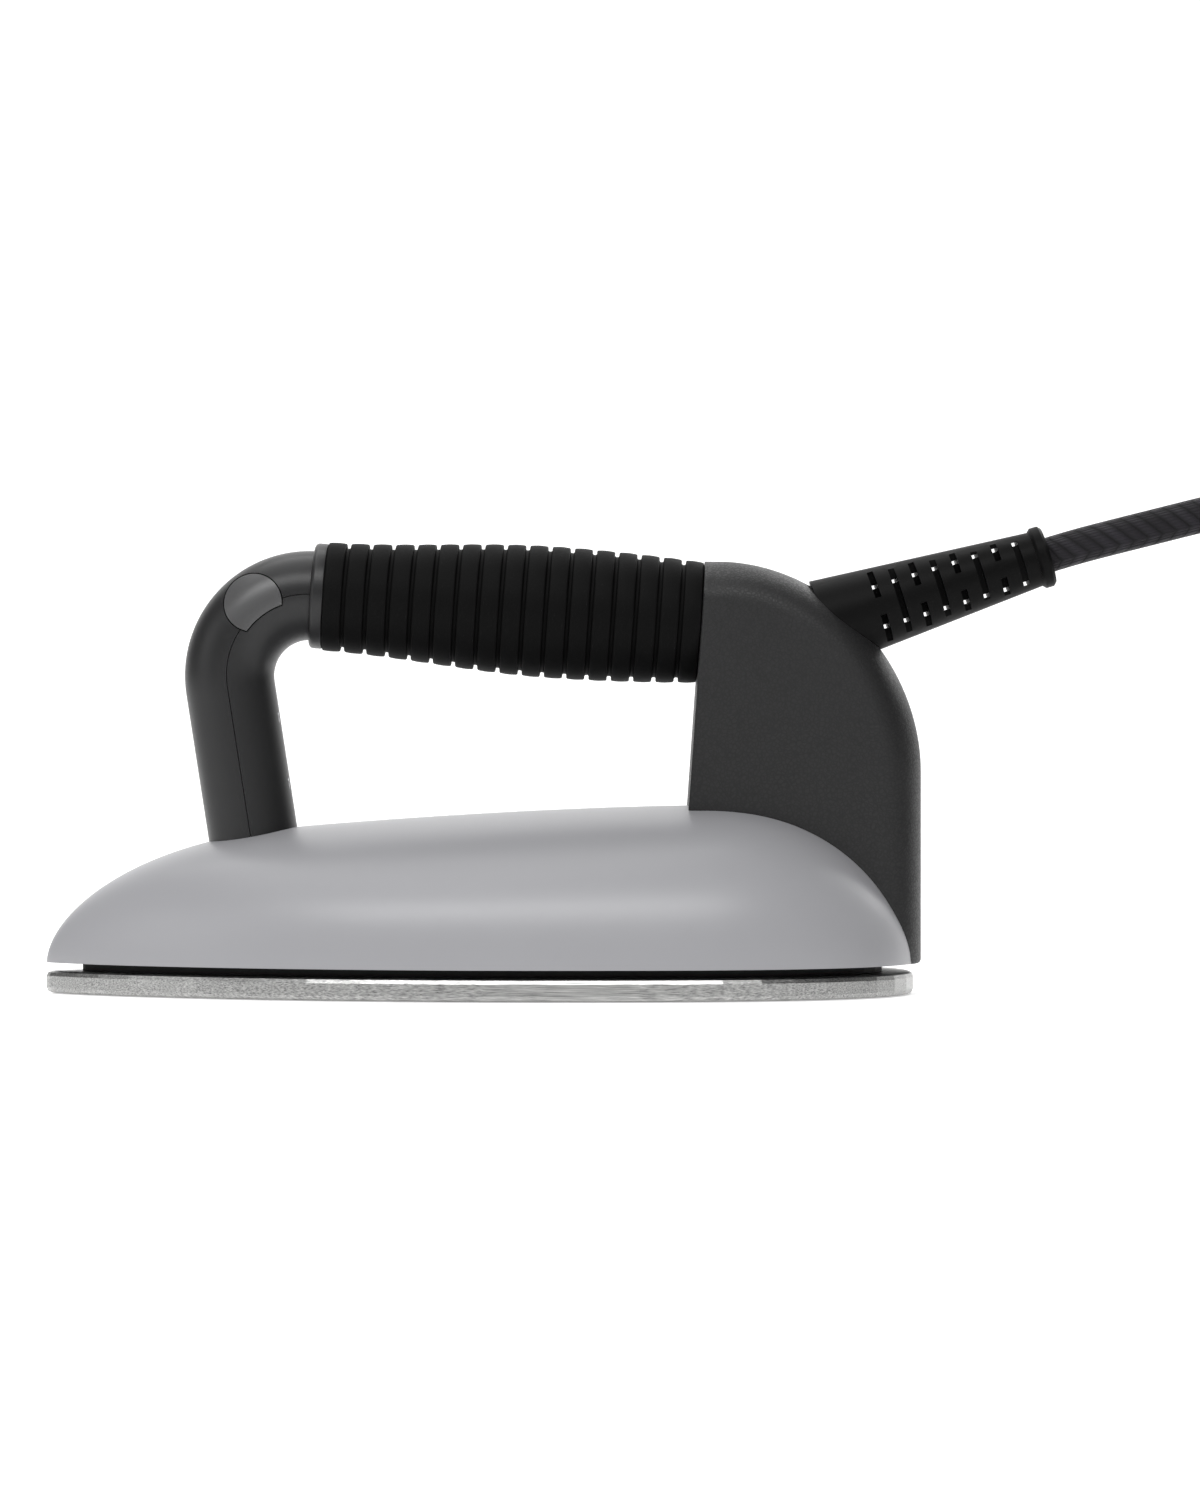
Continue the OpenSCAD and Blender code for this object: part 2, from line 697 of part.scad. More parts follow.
module front_inner_shell() {
  color([0.13, 0.13, 0.14]) shell_half(-1);
}

module shell_screws() {
  color("silver") in_leg() for (z = shell_screw_at) translate([-tube_r + 2.2, 0, z])
    rotate([0, -90, 0]) screw(tube_r + 3);
}

module grip_collar() {
  edge = 1;
  color([0.1, 0.1, 0.1]) in_grip() rotate_extrude($fn = 96) polygon([
    [tube_r + 0.1, collar_start], [collar_d / 2 - 1.5 * edge, collar_start],
    [collar_d / 2 - 0.4 * edge, collar_start + 0.4 * edge], [collar_d / 2, collar_start + 1.3 * edge],
    [collar_d / 2, collar_end], [tube_r + 0.1, collar_end]]);
}

// Grip

core_r = grip_front_d / 2 - 3.6;
core_bore = core_r - 2.6;
core_flange_r = half_h - housing_wall - 0.4;
core_flange_t = 2.4;
flange_start = grip_end + housing_wall + fit;
grip_start = collar_end + seam;
grip_rear_d = housing_width - 0.4;

module grip_core() {
  color("dimgray") in_grip() rotate_extrude($fn = 96) polygon([
    [core_bore, collar_end + seam], [core_r, collar_end + seam],
    [core_r, flange_start], [core_flange_r, flange_start],
    [core_flange_r, flange_start + core_flange_t], [core_bore, flange_start + core_flange_t]]);
}

// Radius of the grip at a share of its length
function grip_radius(u) =
  u < 0.6
    ? let (t = u / 0.6) grip_front_d / 2 + (grip_d - grip_front_d) / 2 * t * t * (3 - 2 * t)
    : grip_d / 2 - (grip_d - grip_rear_d) / 2 * pow((u - 0.6) / 0.4, 2);

module grip_sleeve() {
  length = grip_end - fit - grip_start;
  pitch = (length + groove_width) / grip_ribs;
  edge = 0.3;
  rib = pitch - groove_width;
  ribs = [for (k = [0:grip_ribs - 1])
    let (s = k * pitch, a = grip_radius(s / length), b = grip_radius((s + rib) / length))
    each concat(
      [[a - edge, grip_start + s], [a, grip_start + s + edge],
       [b, grip_start + s + rib - edge], [b - edge, grip_start + s + rib]],
      k < grip_ribs - 1 ? [[b - groove_depth, grip_start + s + rib],
        [b - groove_depth, grip_start + s + pitch]] : [])];
  color([0.06, 0.06, 0.06]) in_grip() rotate_extrude($fn = 96) polygon(concat(
    ribs, [[core_r + fit, grip_start + length], [core_r + fit, grip_start]]));
}

// Buttons, springs and switches

plunger_r = 1.2;
stem_r = 1.8;
spring_wire_r = 0.25;
spring_mean_r = 2.7;
spring_turns = 3;

module on_button(side, depth) {
  translate([button_x, side * depth, button_z]) rotate([side * -90, 0, 0]) children();
}

module button(side) {
  color([0.33, 0.33, 0.35]) difference() {
    intersection() {
      round_bend() circle(tube_r + cap_proud);
      sideways(side, button_inner, tube_r + past) button_outline(0);
    }
    intersection() {
      round_bend() circle(tube_r - button_wall);
      translate([button_x, 0, button_z]) rotate([90, 0, 0])
        difference() {
          cylinder(r = button_d, h = 2 * tube_d, center = true);
          cylinder(r = stem_r, h = 2 * tube_d, center = true);
        }
    }
    on_button(side, 0) cylinder(r = button_d, h = button_inner);
  }
}

module button_left() {
  button(-1);
}

module button_right() {
  button(1);
}

module plunger(side) {
  color("white") on_button(side, switch_top - 1) cylinder(r = plunger_r, h = button_inner - switch_top + 1);
}

module switch_plunger_left() {
  plunger(-1);
}

module switch_plunger_right() {
  plunger(1);
}

module button_spring(side) {
  low = switch_top + spring_wire_r + 0.05;
  high = sqrt(pow(tube_r - button_wall, 2) - pow(button_out + spring_mean_r + 0.3, 2)) - spring_wire_r - 0.1;
  steps = spring_turns * 12;
  path = [for (k = [0:steps]) let (a = 30 * k)
    [button_x + spring_mean_r * cos(a), side * (low + (high - low) * k / steps),
     button_z + spring_mean_r * sin(a)]];
  color("silver") tube_along(path, spring_wire_r, 6);
}

module button_spring_left() {
  button_spring(-1);
}

module button_spring_right() {
  button_spring(1);
}

module switch(side) {
  size = 7;
  color("black") difference() {
    on_button(side, board_t / 2) translate([-size / 2, -size / 2, 0]) cube([size, size, switch_h]);
    on_button(side, switch_top - 2.4) cylinder(r = plunger_r + 0.08, h = 2.4 + past);
  }
}

module switch_left() {
  switch(-1);
}

module switch_right() {
  switch(1);
}

module switch_board() {
  color("darkgreen") translate([bend_x, 0, bend_z]) rotate([90, 0, 0]) rotate([0, 0, button_turn - 20])
    translate([0, 0, -board_t / 2]) rotate_extrude(angle = 40, $fn = 96)
      translate([bend_radius - bore_r + 0.3, 0]) square([2 * bore_r - 0.6, board_t]);
}

function on_bend(a, r, y) = [bend_x + r * cos(a), y, bend_z + r * sin(a)];

cable_r = 1.4;
cable_y = -board_t / 2 - cable_r - 0.05;
cable_route = concat(
  [for (a = [114:-6:90]) on_bend(a, bend_radius - 3, cable_y)],
  [on_grip(3.5, cable_y, 12), on_grip(4, cable_y, 40), on_grip(4, cable_y, grip_end - 12),
   on_grip(4, cable_y, grip_end + 8), on_grip(6, cable_y - 2, grip_end + 11)],
  [housed(46, -5, 44), housed(43, -6, 36), housed(42, -6, 31)]);

module button_cable() {
  color("darkred") tube_along(cable_route, cable_r, 6);
}

// Rear housing and what it holds

// Solid of one half, from the middle plane to the flat side, with its rim rounded
module housing_half_solid(wall, low, heel_low, start) {
  function ring(y, rim) = [for (p = housing_outline(rim, wall, low, heel_low)) [p[0], y, p[1]]];
  loft(concat([ring(start, 0)],
    [for (k = [1:rim_steps]) let (a = 90 * k / rim_steps)
      ring((half_h - wall) * sin(a), rim_radius * (1 - cos(a)))]));
}

housing_screw_at = [
  [rear_x - 7.5, heel_foot_z + 12],
  [rear_x - 12, back_z + 12],
  [foot_x + 8, housing_floor + 10],
  [grip_end_x + 11, housing_top - 9]
];
boss_r = 3;
screw_sink = 6;

function boot_radius(s) = boot_root_d / 2 + (boot_tip_d - boot_root_d) / 2 * s / boot_length;

module housing_half(side) {
  boot_in = -8;
  boot_out = 32;
  mirror([0, side < 0 ? 1 : 0, 0]) difference() {
    union() {
      difference() {
        housing_half_solid(0, housing_floor, heel_foot_z, -past);
        housing_half_solid(housing_wall, housing_floor - past, heel_foot_z + housing_wall, -2 * past);
        translate([foot_x - rim_radius, -2 * past, 0]) cube([2 * housing_length, 2 * past, 2 * housing_top]);
      }
      for (p = housing_screw_at) translate([p[0], seam, p[1]]) rotate([-90, 0, 0])
        cylinder(r = boss_r, h = half_h - housing_wall);
    }
    in_grip() translate([0, 0, grip_end - 3]) cylinder(r = core_r + fit, h = housing_wall + 6);
    in_boot() {
      translate([0, 0, boot_in])
        cylinder(r1 = boot_radius(boot_in) + fit, r2 = boot_radius(boot_out) + fit, h = boot_out - boot_in);
      translate([0, 0, -boot_tail - fit]) cylinder(r = boot_root_d / 2 - 1 + fit, h = boot_tail);
    }
    for (p = housing_screw_at) translate([p[0], 0, p[1]]) rotate([-90, 0, 0]) {
      translate([0, 0, -past]) cylinder(r = shank_r + seam, h = (side < 0 ? 10 : half_h) + past);
      if (side > 0) translate([0, 0, half_h - screw_sink]) cylinder(r = head_r + fit, h = half_h);
    }
  }
}

module rear_housing_left() {
  color([0.15, 0.15, 0.16]) housing_half(-1);
}

module rear_housing_right() {
  color([0.15, 0.15, 0.16]) housing_half(1);
}

module housing_screws() {
  color("silver") for (p = housing_screw_at) translate([p[0], half_h - screw_sink, p[1]])
    rotate([-90, 0, 0]) screw(half_h - screw_sink + 8);
}

block_low = housed(46, -13, 21);
block_size = [14, 12, 10];
block_screws = 3;

module each_block_screw() {
  for (k = [0:block_screws - 1])
    translate(block_low + [2.5 + k * 4.5, block_size[1] / 2, block_size[2]]) children();
}

module terminal_block() {
  color("whitesmoke") difference() {
    translate(block_low) cube(block_size);
    each_block_screw() translate([0, 0, -5]) cylinder(r = 1.5, h = 6);
  }
}

module terminal_screws() {
  color("goldenrod") each_block_screw() translate([0, 0, -5]) difference() {
    cylinder(r = 1.5 - seam, h = 4);
    translate([-1, -0.25, 3.2]) cube([2, 0.5, past]);
  }
}

lead_r = 1.1;

module power_leads() {
  start = element_top + 7;
  pin_y = element_y;
  lead_y = half_h - 4.6;
  left = [[element_end_x, -pin_y, start], [element_end_x - 2, -pin_y - 1, start + 3],
    [element_end_x - 5, -pin_y - 1.5, start + 2], [element_end_x - 8, -pin_y - 1, start - 5],
    [element_end_x - 9, -lead_y, housing_floor - 4], [element_end_x - 9, -lead_y, housing_floor + 1],
    [element_end_x - 7.5, -8, housing_floor + 10], [element_end_x - 7, -8, block_low[2]]];
  right = [[element_end_x, pin_y, start], [element_end_x - 2, pin_y + 1, start + 3],
    [element_end_x - 5, pin_y + 1.5, start + 2], [element_end_x - 8, pin_y + 1, start - 5],
    [element_end_x - 9, lead_y, housing_floor - 4], [element_end_x - 9, lead_y, housing_floor + 1.5],
    [element_end_x - 9, 9, housing_floor + 6], [element_end_x - 7, 2, housing_floor + 11],
    [element_end_x - 3.5, -4, housing_floor + 16], [element_end_x - 3, -5, block_low[2]]];
  color("firebrick") {
    tube_along(left, lead_r, 6, [1, 0, 0]);
    tube_along(right, lead_r, 6, [1, 0, 0]);
  }
}

clamp_reach = line_r + 4;

module clamp_half(low, high) {
  in_boot() difference() {
    translate([-high, -clamp_half_w, clamp_at - clamp_t / 2]) cube([high - low, 2 * clamp_half_w, clamp_t]);
    translate([0, 0, clamp_at - clamp_t]) cylinder(r = line_r + seam, h = 2 * clamp_t);
    for (side = [-1, 1]) translate([-high - past, side * 7.8, clamp_at]) rotate([0, 90, 0])
      cylinder(r = shank_r + seam, h = high - low + 2 * past);
  }
}

module line_clamp() {
  color("gray") clamp_half(0.6, clamp_reach - 1);
}

module clamp_base() {
  color("dimgray") clamp_half(-clamp_reach, -0.6);
}

module clamp_screws() {
  color("silver") in_boot() for (side = [-1, 1])
    translate([-clamp_reach + 1, side * 7.8, clamp_at]) rotate([0, -90, 0]) screw(2 * clamp_reach - 4);
}

// Line, boot, coil and connector

module line_inner() {
  color([0.08, 0.08, 0.08]) in_boot() translate([0, 0, line_inner_start])
    cylinder(r = line_r, h = boot_end - line_inner_start);
}

slot_first = 8;
slot_step = (boot_length - slot_first - 4.5) / (boot_slots - 1);
window_h = 1.1;

module boot_slot(k) {
  s = slot_first + k * slot_step;
  r = boot_radius(s);
  long = k % 2 == 1;
  skin = line_r + 0.8;
  translate([0, 0, s - slot_w / 2]) {
    for (up = [-1, 1]) translate([up * (line_r + 0.2 + window_h / 2) - window_h / 2, -2 * r, 0])
      cube([window_h, 4 * r, slot_w]);
    for (side = [-1, 1]) {
      if (long) translate([-r + 1.6, side > 0 ? skin : -2 * r, 0]) cube([2 * r - 3.2, 2 * r - skin, slot_w]);
      if (!long) for (up = [-1, 1])
        translate([up > 0 ? 2.4 : -r + 1.2, side > 0 ? skin - 1.4 : -2 * r, 0])
          cube([r - 3.6, 2 * r - skin + 1.4, slot_w]);
    }
  }
}

module strain_relief() {
  tail_r = boot_root_d / 2 - 1;
  neck_r = tail_r - 1.4;
  neck = [-11, -8];
  flange_r = boot_flange_d / 2;
  edge = 0.8;
  color([0.07, 0.07, 0.07]) in_boot() difference() {
    rotate_extrude($fn = 96) polygon([
      [line_r + seam, -boot_tail], [tail_r, -boot_tail], [tail_r, neck[0]], [neck_r, neck[0]],
      [neck_r, neck[1]], [boot_radius(neck[1]), neck[1]], [boot_radius(boot_length), boot_length],
      [flange_r - edge, boot_length], [flange_r, boot_length + edge], [flange_r, boot_end - edge],
      [flange_r - edge, boot_end], [line_r + seam, boot_end]]);
    for (k = [0:boot_slots - 1]) boot_slot(k);
  }
}

lead_path = concat([on_boot(0, 0, boot_end), on_boot(0, 0, boot_end + 8)], lead_route);

module line_lead() {
  color([0.08, 0.08, 0.09]) tube_along(lead_path, line_r, 10);
}

coil_low_out = [coil_out_r, low_z];
coil_low_in = [coil_in_r, low_z];
coil_high_in = [coil_in_r + line_r, high_z];
coil_high_out = [coil_out_r - line_r, high_z];

// Outline round the coil's turns, drawn out by grow
function coil_outline(grow) =
  let (corners = [[coil_low_out, -90], [coil_high_out, 30], [coil_high_in, 90], [coil_low_in, 150]])
  let (spans = [120, 60, 60, 120])
  [for (k = [0:3], j = [0:4]) let (a = corners[k][1] + spans[k] * j / 4)
    corners[k][0] + (line_r + grow) * [cos(a), sin(a)]];

module line_coil() {
  color([0.08, 0.08, 0.09]) translate([coil_x, 0, 0]) rotate_extrude($fn = 96) polygon(coil_outline(0));
}

module coil_tie() {
  color([0.2, 0.2, 0.2]) translate([coil_x, 0, 0]) rotate([0, 0, tie_angle]) rotate([90, 0, 0])
    translate([0, 0, -tie_w / 2]) linear_extrude(tie_w) difference() {
      polygon(coil_outline(tie_t));
      polygon(coil_outline(0.2));
    }
}

// Route of the tail, drawn where it leaves a coil that ends at -75 degrees and then turned with the coil
tail_turn = 93;
tail_points = [
  [315, -55, 14], [331, -47.5, 18], [344, -36.5, 21.5], [350, -27, 22], [353, -17, 23], [353.5, -6, 25],
  [351, 5, 28.4], [346, 14.5, 31.6]
];
tail_route = [for (p = tail_points) [p[0] + line_shift, p[1], p[2]]];
connector_heading = 125;

module in_coil(turn) {
  translate([coil_x, 0, 0]) rotate([0, 0, turn]) translate([-coil_x, 0, 0]) children();
}

module line_tail() {
  color([0.08, 0.08, 0.09]) in_coil(tail_turn) tube_along(tail_route, line_r, 10, [0, 0, 1]);
}

// z runs out through the connector from the end of the line
module in_connector() {
  in_coil(tail_turn) translate(tail_route[len(tail_route) - 1]) rotate([0, 0, connector_heading])
    rotate([0, 90, 0]) children();
}

sleeve_length = 14;
ring_at_s = connector_length - 14;
ring_w = 8;
nipple_r = 3.5;

module connector_shell() {
  color([0.12, 0.12, 0.12]) in_connector() difference() {
    rotate_extrude($fn = 64) polygon([
      [0, 0], [line_r + 1.4, 0], [connector_r - 1, sleeve_length], [connector_r - 1, connector_length],
      [0, connector_length]]);
    translate([0, 0, connector_length - 8]) cylinder(r = connector_r - 3, h = 8 + past);
    translate([0, 0, connector_length - 16]) cylinder(r = nipple_r - 1, h = 16);
    for (a = [60, 180, 300]) rotate([0, 0, a]) translate([nipple_r + 3.2, 0, connector_length - 14])
      cylinder(r = 1, h = 14);
  }
}

module connector_ring() {
  color([0.3, 0.3, 0.3]) in_connector() translate([0, 0, ring_at_s]) difference() {
    cylinder(r = connector_r, h = ring_w);
    translate([0, 0, -past]) cylinder(r = connector_r - 1 + seam, h = ring_w + 2 * past);
  }
}

module connector_contacts() {
  color("gold") in_connector() for (a = [60, 180, 300]) rotate([0, 0, a])
    translate([nipple_r + 3.2, 0, connector_length - 14]) cylinder(r = 1 - seam, h = 13);
}

module steam_nipple() {
  color("goldenrod") in_connector() translate([0, 0, connector_length - 16]) difference() {
    union() {
      cylinder(r = nipple_r - 1 - seam, h = 8 + seam);
      translate([0, 0, 8 + seam]) cylinder(r = nipple_r - 0.8, h = 2);
      translate([0, 0, 10]) cylinder(r = nipple_r - 1.6, h = 7);
    }
    translate([0, 0, -past]) cylinder(r = 1.1, h = 30);
  }
}

module nipple_seal() {
  color("black") in_connector() translate([0, 0, connector_length - 3.5])
    rotate_extrude() translate([nipple_r - 0.95, 0]) circle(0.6, $fn = 24);
}

soleplate();
heater_casting();
heating_element();
element_terminals();
chamber_gasket();
chamber_lid();
lid_screws();
steam_inlet();
steam_tube();
thermostat();
thermostat_screws();
thermal_fuse();
insulating_skirt();
body_cover();
leg_bracket();
bracket_screws();
leg_anchor();
leg_screw();
front_outer_shell();
front_inner_shell();
shell_screws();
grip_collar();
grip_core();
grip_sleeve();
button_left();
button_right();
button_spring_left();
button_spring_right();
switch_plunger_left();
switch_plunger_right();
switch_left();
switch_right();
switch_board();
button_cable();
rear_housing_left();
rear_housing_right();
housing_screws();
terminal_block();
terminal_screws();
power_leads();
line_clamp();
clamp_base();
clamp_screws();
line_inner();
strain_relief();
line_lead();
line_coil();
line_tail();
coil_tie();
connector_shell();
connector_ring();
connector_contacts();
steam_nipple();
nipple_seal();
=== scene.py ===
import bpy
import bmesh
from math import sin, cos, tan, pi, sqrt, radians
from mathutils import Vector, Matrix


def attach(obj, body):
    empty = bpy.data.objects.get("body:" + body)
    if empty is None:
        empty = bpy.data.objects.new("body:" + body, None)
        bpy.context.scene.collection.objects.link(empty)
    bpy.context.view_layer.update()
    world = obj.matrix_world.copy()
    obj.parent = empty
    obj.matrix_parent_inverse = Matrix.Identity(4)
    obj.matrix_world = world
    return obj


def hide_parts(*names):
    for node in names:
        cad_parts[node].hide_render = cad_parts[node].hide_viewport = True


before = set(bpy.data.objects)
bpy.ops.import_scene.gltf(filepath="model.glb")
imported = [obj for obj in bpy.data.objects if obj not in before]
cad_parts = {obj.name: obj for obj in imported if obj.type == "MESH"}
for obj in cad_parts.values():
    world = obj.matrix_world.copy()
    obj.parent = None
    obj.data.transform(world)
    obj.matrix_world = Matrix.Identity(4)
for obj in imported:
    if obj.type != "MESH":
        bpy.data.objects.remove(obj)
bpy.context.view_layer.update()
mm = 0.001

cameraSettings = {"across": 31.4, "back": 1425.0, "height": 63.0, "framed": 405.0, "centre": 65.5}


def makeCamera():
    data = bpy.data.cameras.new("camera")
    data.sensor_width = 36.0
    data.lens = 36.0 * cameraSettings["back"] / cameraSettings["framed"]
    data.shift_y = (cameraSettings["centre"] - cameraSettings["height"]) / cameraSettings["framed"]
    camera = bpy.data.objects.new("camera", data)
    camera.location = Vector((cameraSettings["across"], -cameraSettings["back"], cameraSettings["height"])) * mm
    camera.rotation_euler = (pi / 2, 0, 0)
    bpy.context.scene.collection.objects.link(camera)
    bpy.context.scene.camera = camera


makeCamera()
print("camera set")


class Wire:
    # a number that changes over a surface; arithmetic on it adds Math nodes
    def __init__(self, finish, socket):
        self.finish, self.socket = finish, socket

    def maths(self, operation, *others):
        return self.finish.node("ShaderNodeMath", {"operation": operation}, [self, *others])

    def __add__(self, other): return self.maths("ADD", other)
    def __radd__(self, other): return self.maths("ADD", other)
    def __sub__(self, other): return self.maths("SUBTRACT", other)
    def __mul__(self, other): return self.maths("MULTIPLY", other)
    def __rmul__(self, other): return self.maths("MULTIPLY", other)
    def __truediv__(self, other): return self.maths("DIVIDE", other)
    def __pow__(self, other): return self.maths("POWER", other)

    def __rsub__(self, other):
        return self.finish.node("ShaderNodeMath", {"operation": "SUBTRACT"}, [other, self])


class Finish:
    # one material, with one method that makes any of its nodes
    def __init__(self, name):
        self.material = bpy.data.materials.new(name)
        self.material.use_nodes = True
        self.tree = self.material.node_tree
        self.tree.nodes.clear()

    def node(self, kind, settings=None, inputs=None, output=0):
        made = self.tree.nodes.new(kind)
        for key, value in (settings or {}).items():
            if key == "stops":
                ramp = made.color_ramp
                while len(ramp.elements) < len(value):
                    ramp.elements.new(0.5)
                for stop, (position, grey) in zip(ramp.elements, value):
                    stop.position = position
                    stop.color = (grey, grey, grey, 1)
            else:
                setattr(made, key, value)
        pairs = inputs.items() if isinstance(inputs, dict) else enumerate(inputs or [])
        for key, value in pairs:
            if isinstance(value, Wire):
                self.tree.links.new(value.socket, made.inputs[key])
            else:
                made.inputs[key].default_value = value
        return Wire(self, made.outputs[output])

    def place(self, scale=(1, 1, 1)):
        here = self.node("ShaderNodeTexCoord", output="Object")
        return self.node("ShaderNodeMapping", {}, {"Vector": here, "Scale": scale})

    def noise(self, where, scale, detail=3.0, roughness=0.5):
        return self.node("ShaderNodeTexNoise", {}, {"Vector": where, "Scale": scale, "Detail": detail,
                                                   "Roughness": roughness})

    def blend(self, amount, first, second):
        # colours come last in the Mix node's sockets
        return self.node("ShaderNodeMix", {"data_type": "RGBA"}, {0: amount, 6: first, 7: second}, 2)

    def bump(self, height, distance, strength=1.0):
        return self.node("ShaderNodeBump", {}, {"Height": height, "Distance": distance, "Strength": strength})

    def close(self, **sockets):
        named = {key.replace("_", " "): value for key, value in sockets.items()}
        shader = self.node("ShaderNodeBsdfPrincipled", {}, named)
        end = self.tree.nodes.new("ShaderNodeOutputMaterial")
        self.tree.links.new(shader.socket, end.inputs["Surface"])
        return self.material


def tone(value, tint=(1, 1, 1)):
    return (value * tint[0], value * tint[1], value * tint[2], 1)


def mouldedFinish(name, colour, spread=0.12, rough=(0.4, 0.55), grain=900.0, depth=0.00002, metal=0.0,
                  patch=30.0):
    # plain moulded or cast stuff: slow patches of tone and a fine grain
    f = Finish(name)
    where = f.place()
    patches = f.noise(where, patch)
    fine = f.noise(where, grain, 2.0)
    base = f.blend(patches, tone(1 - spread, colour), tone(1 + spread, colour))
    polish = patches * (rough[1] - rough[0]) * 0.7 + fine * (rough[1] - rough[0]) * 0.3 + rough[0]
    return f.close(Base_Color=base, Roughness=polish, Metallic=metal, Normal=f.bump(fine, depth))


def coverFinish():
    f = Finish("coverGrey")
    where = f.place()
    slow = f.noise(where, 14.0, 2.0)
    fine = f.noise(where, 1500.0, 1.0)
    base = f.blend(slow, tone(0.32, (1, 1, 1.05)), tone(0.34, (1, 1, 1.045)))
    return f.close(Base_Color=base, Roughness=fine * 0.05 + slow * 0.05 + 0.3,
                   Normal=f.bump(fine, 0.000004))


def soleFinish():
    f = Finish("soleMetal")
    along = f.place(scale=(6, 260, 260))
    lines = f.noise(along, 12.0, 4.0, 0.6)
    slow = f.noise(f.place(), 22.0, 2.0)
    streaks = (lines - 0.5) * 2.6 + 0.5
    base = f.blend(streaks * 0.8 + slow * 0.2, tone(0.12), tone(0.66, (1, 1, 0.98)))
    return f.close(Base_Color=base, Roughness=lines * 0.16 + slow * 0.06 + 0.2, Metallic=1.0,
                   Normal=f.bump(lines, 0.00001))


def tubeFinish():
    f = Finish("tubeBlack")
    where = f.place()
    slow = f.noise(where, 25.0, 2.0)
    fine = f.noise(where, 1700.0, 2.0)
    base = f.blend(slow, tone(0.010, (1, 1, 1.04)), tone(0.016, (1, 1, 1.04)))
    return f.close(Base_Color=base, Roughness=fine * 0.1 + slow * 0.05 + 0.3, Specular_IOR_Level=0.38,
                   Normal=f.bump(fine, 0.000012))


def gripFinish():
    f = Finish("gripRubber")
    where = f.place()
    slow = f.noise(where, 40.0, 3.0)
    fine = f.noise(where, 1300.0, 2.0)
    base = f.blend(slow, tone(0.002), tone(0.004))
    return f.close(Base_Color=base, Roughness=slow * 0.1 + 0.55, Specular_IOR_Level=0.07,
                   Normal=f.bump(fine, 0.00003))


def housingFinish():
    # fine leather-like moulded grain
    f = Finish("housingGrain")
    where = f.place()
    warped = f.node("ShaderNodeVectorMath", {"operation": "ADD"}, [where, f.node(
        "ShaderNodeVectorMath", {"operation": "SCALE"}, {0: f.noise(where, 500.0, 2.0), "Scale": 0.0012})])
    cells = f.node("ShaderNodeTexVoronoi", {"feature": "DISTANCE_TO_EDGE"}, {"Vector": warped, "Scale": 950.0})
    pebble = f.node("ShaderNodeValToRGB", {"stops": [(0.0, 0.0), (0.22, 1.0)]}, {"Fac": cells})
    slow = f.noise(where, 20.0, 2.0)
    base = f.blend(pebble * 0.6 + slow * 0.4, tone(0.008, (1, 1, 1.03)), tone(0.016, (1, 1, 1.03)))
    return f.close(Base_Color=base, Roughness=0.56 - pebble * 0.14 + slow * 0.04, Specular_IOR_Level=0.36,
                   Normal=f.bump(pebble, 0.00004, 0.8))


def buttonFinish():
    f = Finish("buttonGloss")
    where = f.place()
    slow = f.noise(where, 60.0, 2.0)
    base = f.blend(slow, tone(0.062), tone(0.075, (1, 1, 1.03)))
    return f.close(Base_Color=base, Roughness=slow * 0.06 + 0.3, Normal=f.bump(f.noise(where, 300.0), 0.000004))


def bootFinish():
    f = Finish("bootRubber")
    where = f.place()
    slow = f.noise(where, 50.0, 3.0)
    fine = f.noise(where, 1100.0, 2.0)
    base = f.blend(slow, tone(0.002), tone(0.004))
    return f.close(Base_Color=base, Roughness=slow * 0.12 + 0.42, Specular_IOR_Level=0.08,
                   Normal=f.bump(fine, 0.00002))


braidSettings = {"repeat": 12.5}


def braidFinish(length):
    # yarns cross in a herringbone; u runs along the whole cord and v once round it
    f = Finish("lineBraid")
    split = f.node("ShaderNodeTexCoord", output="UV")
    parts = f.tree.nodes.new("ShaderNodeSeparateXYZ")
    f.tree.links.new(split.socket, parts.inputs[0])
    along = Wire(f, parts.outputs[0]) * (length / (braidSettings["repeat"] * mm))
    around = Wire(f, parts.outputs[1])
    zigzag = (around * 4).maths("PINGPONG", 1.0)
    # chevron rows point along the cord; each row is a bundle of yarns
    rows = along * 3 + zigzag * 1.5
    row = rows.maths("FRACT")
    bundle = (row - 0.5).maths("ABSOLUTE") * 2
    hump = 1 - bundle ** 2.2
    yarn = (around * 32).maths("FRACT")
    thread = 1 - ((yarn - 0.5).maths("ABSOLUTE") * 2) ** 2
    height = hump * (thread * 0.45 + 0.55)
    which = (rows.maths("FLOOR") * 0.381966).maths("FRACT")
    shine = f.noise(f.place(), 90.0, 2.0)
    # painted sheen: the base colour is lighter on the crowns of the yarn bundles and threads, more on some rows
    # than others
    paintedSheen = (which * 0.55 + shine * 0.45) * hump * (thread * 0.5 + 0.5)
    # painted shade: the colour darkens into the grooves between the yarn bundles
    paintedGrooveShade = f.blend(hump, (0.002, 0.002, 0.0025, 1), (0.006, 0.005, 0.0065, 1))
    base = f.blend(paintedSheen, paintedGrooveShade, (0.016, 0.014, 0.02, 1))
    return f.close(Base_Color=base, Roughness=0.7 - paintedSheen * 0.25, Specular_IOR_Level=0.25,
                   Normal=f.bump(height, 0.00035, 0.9))


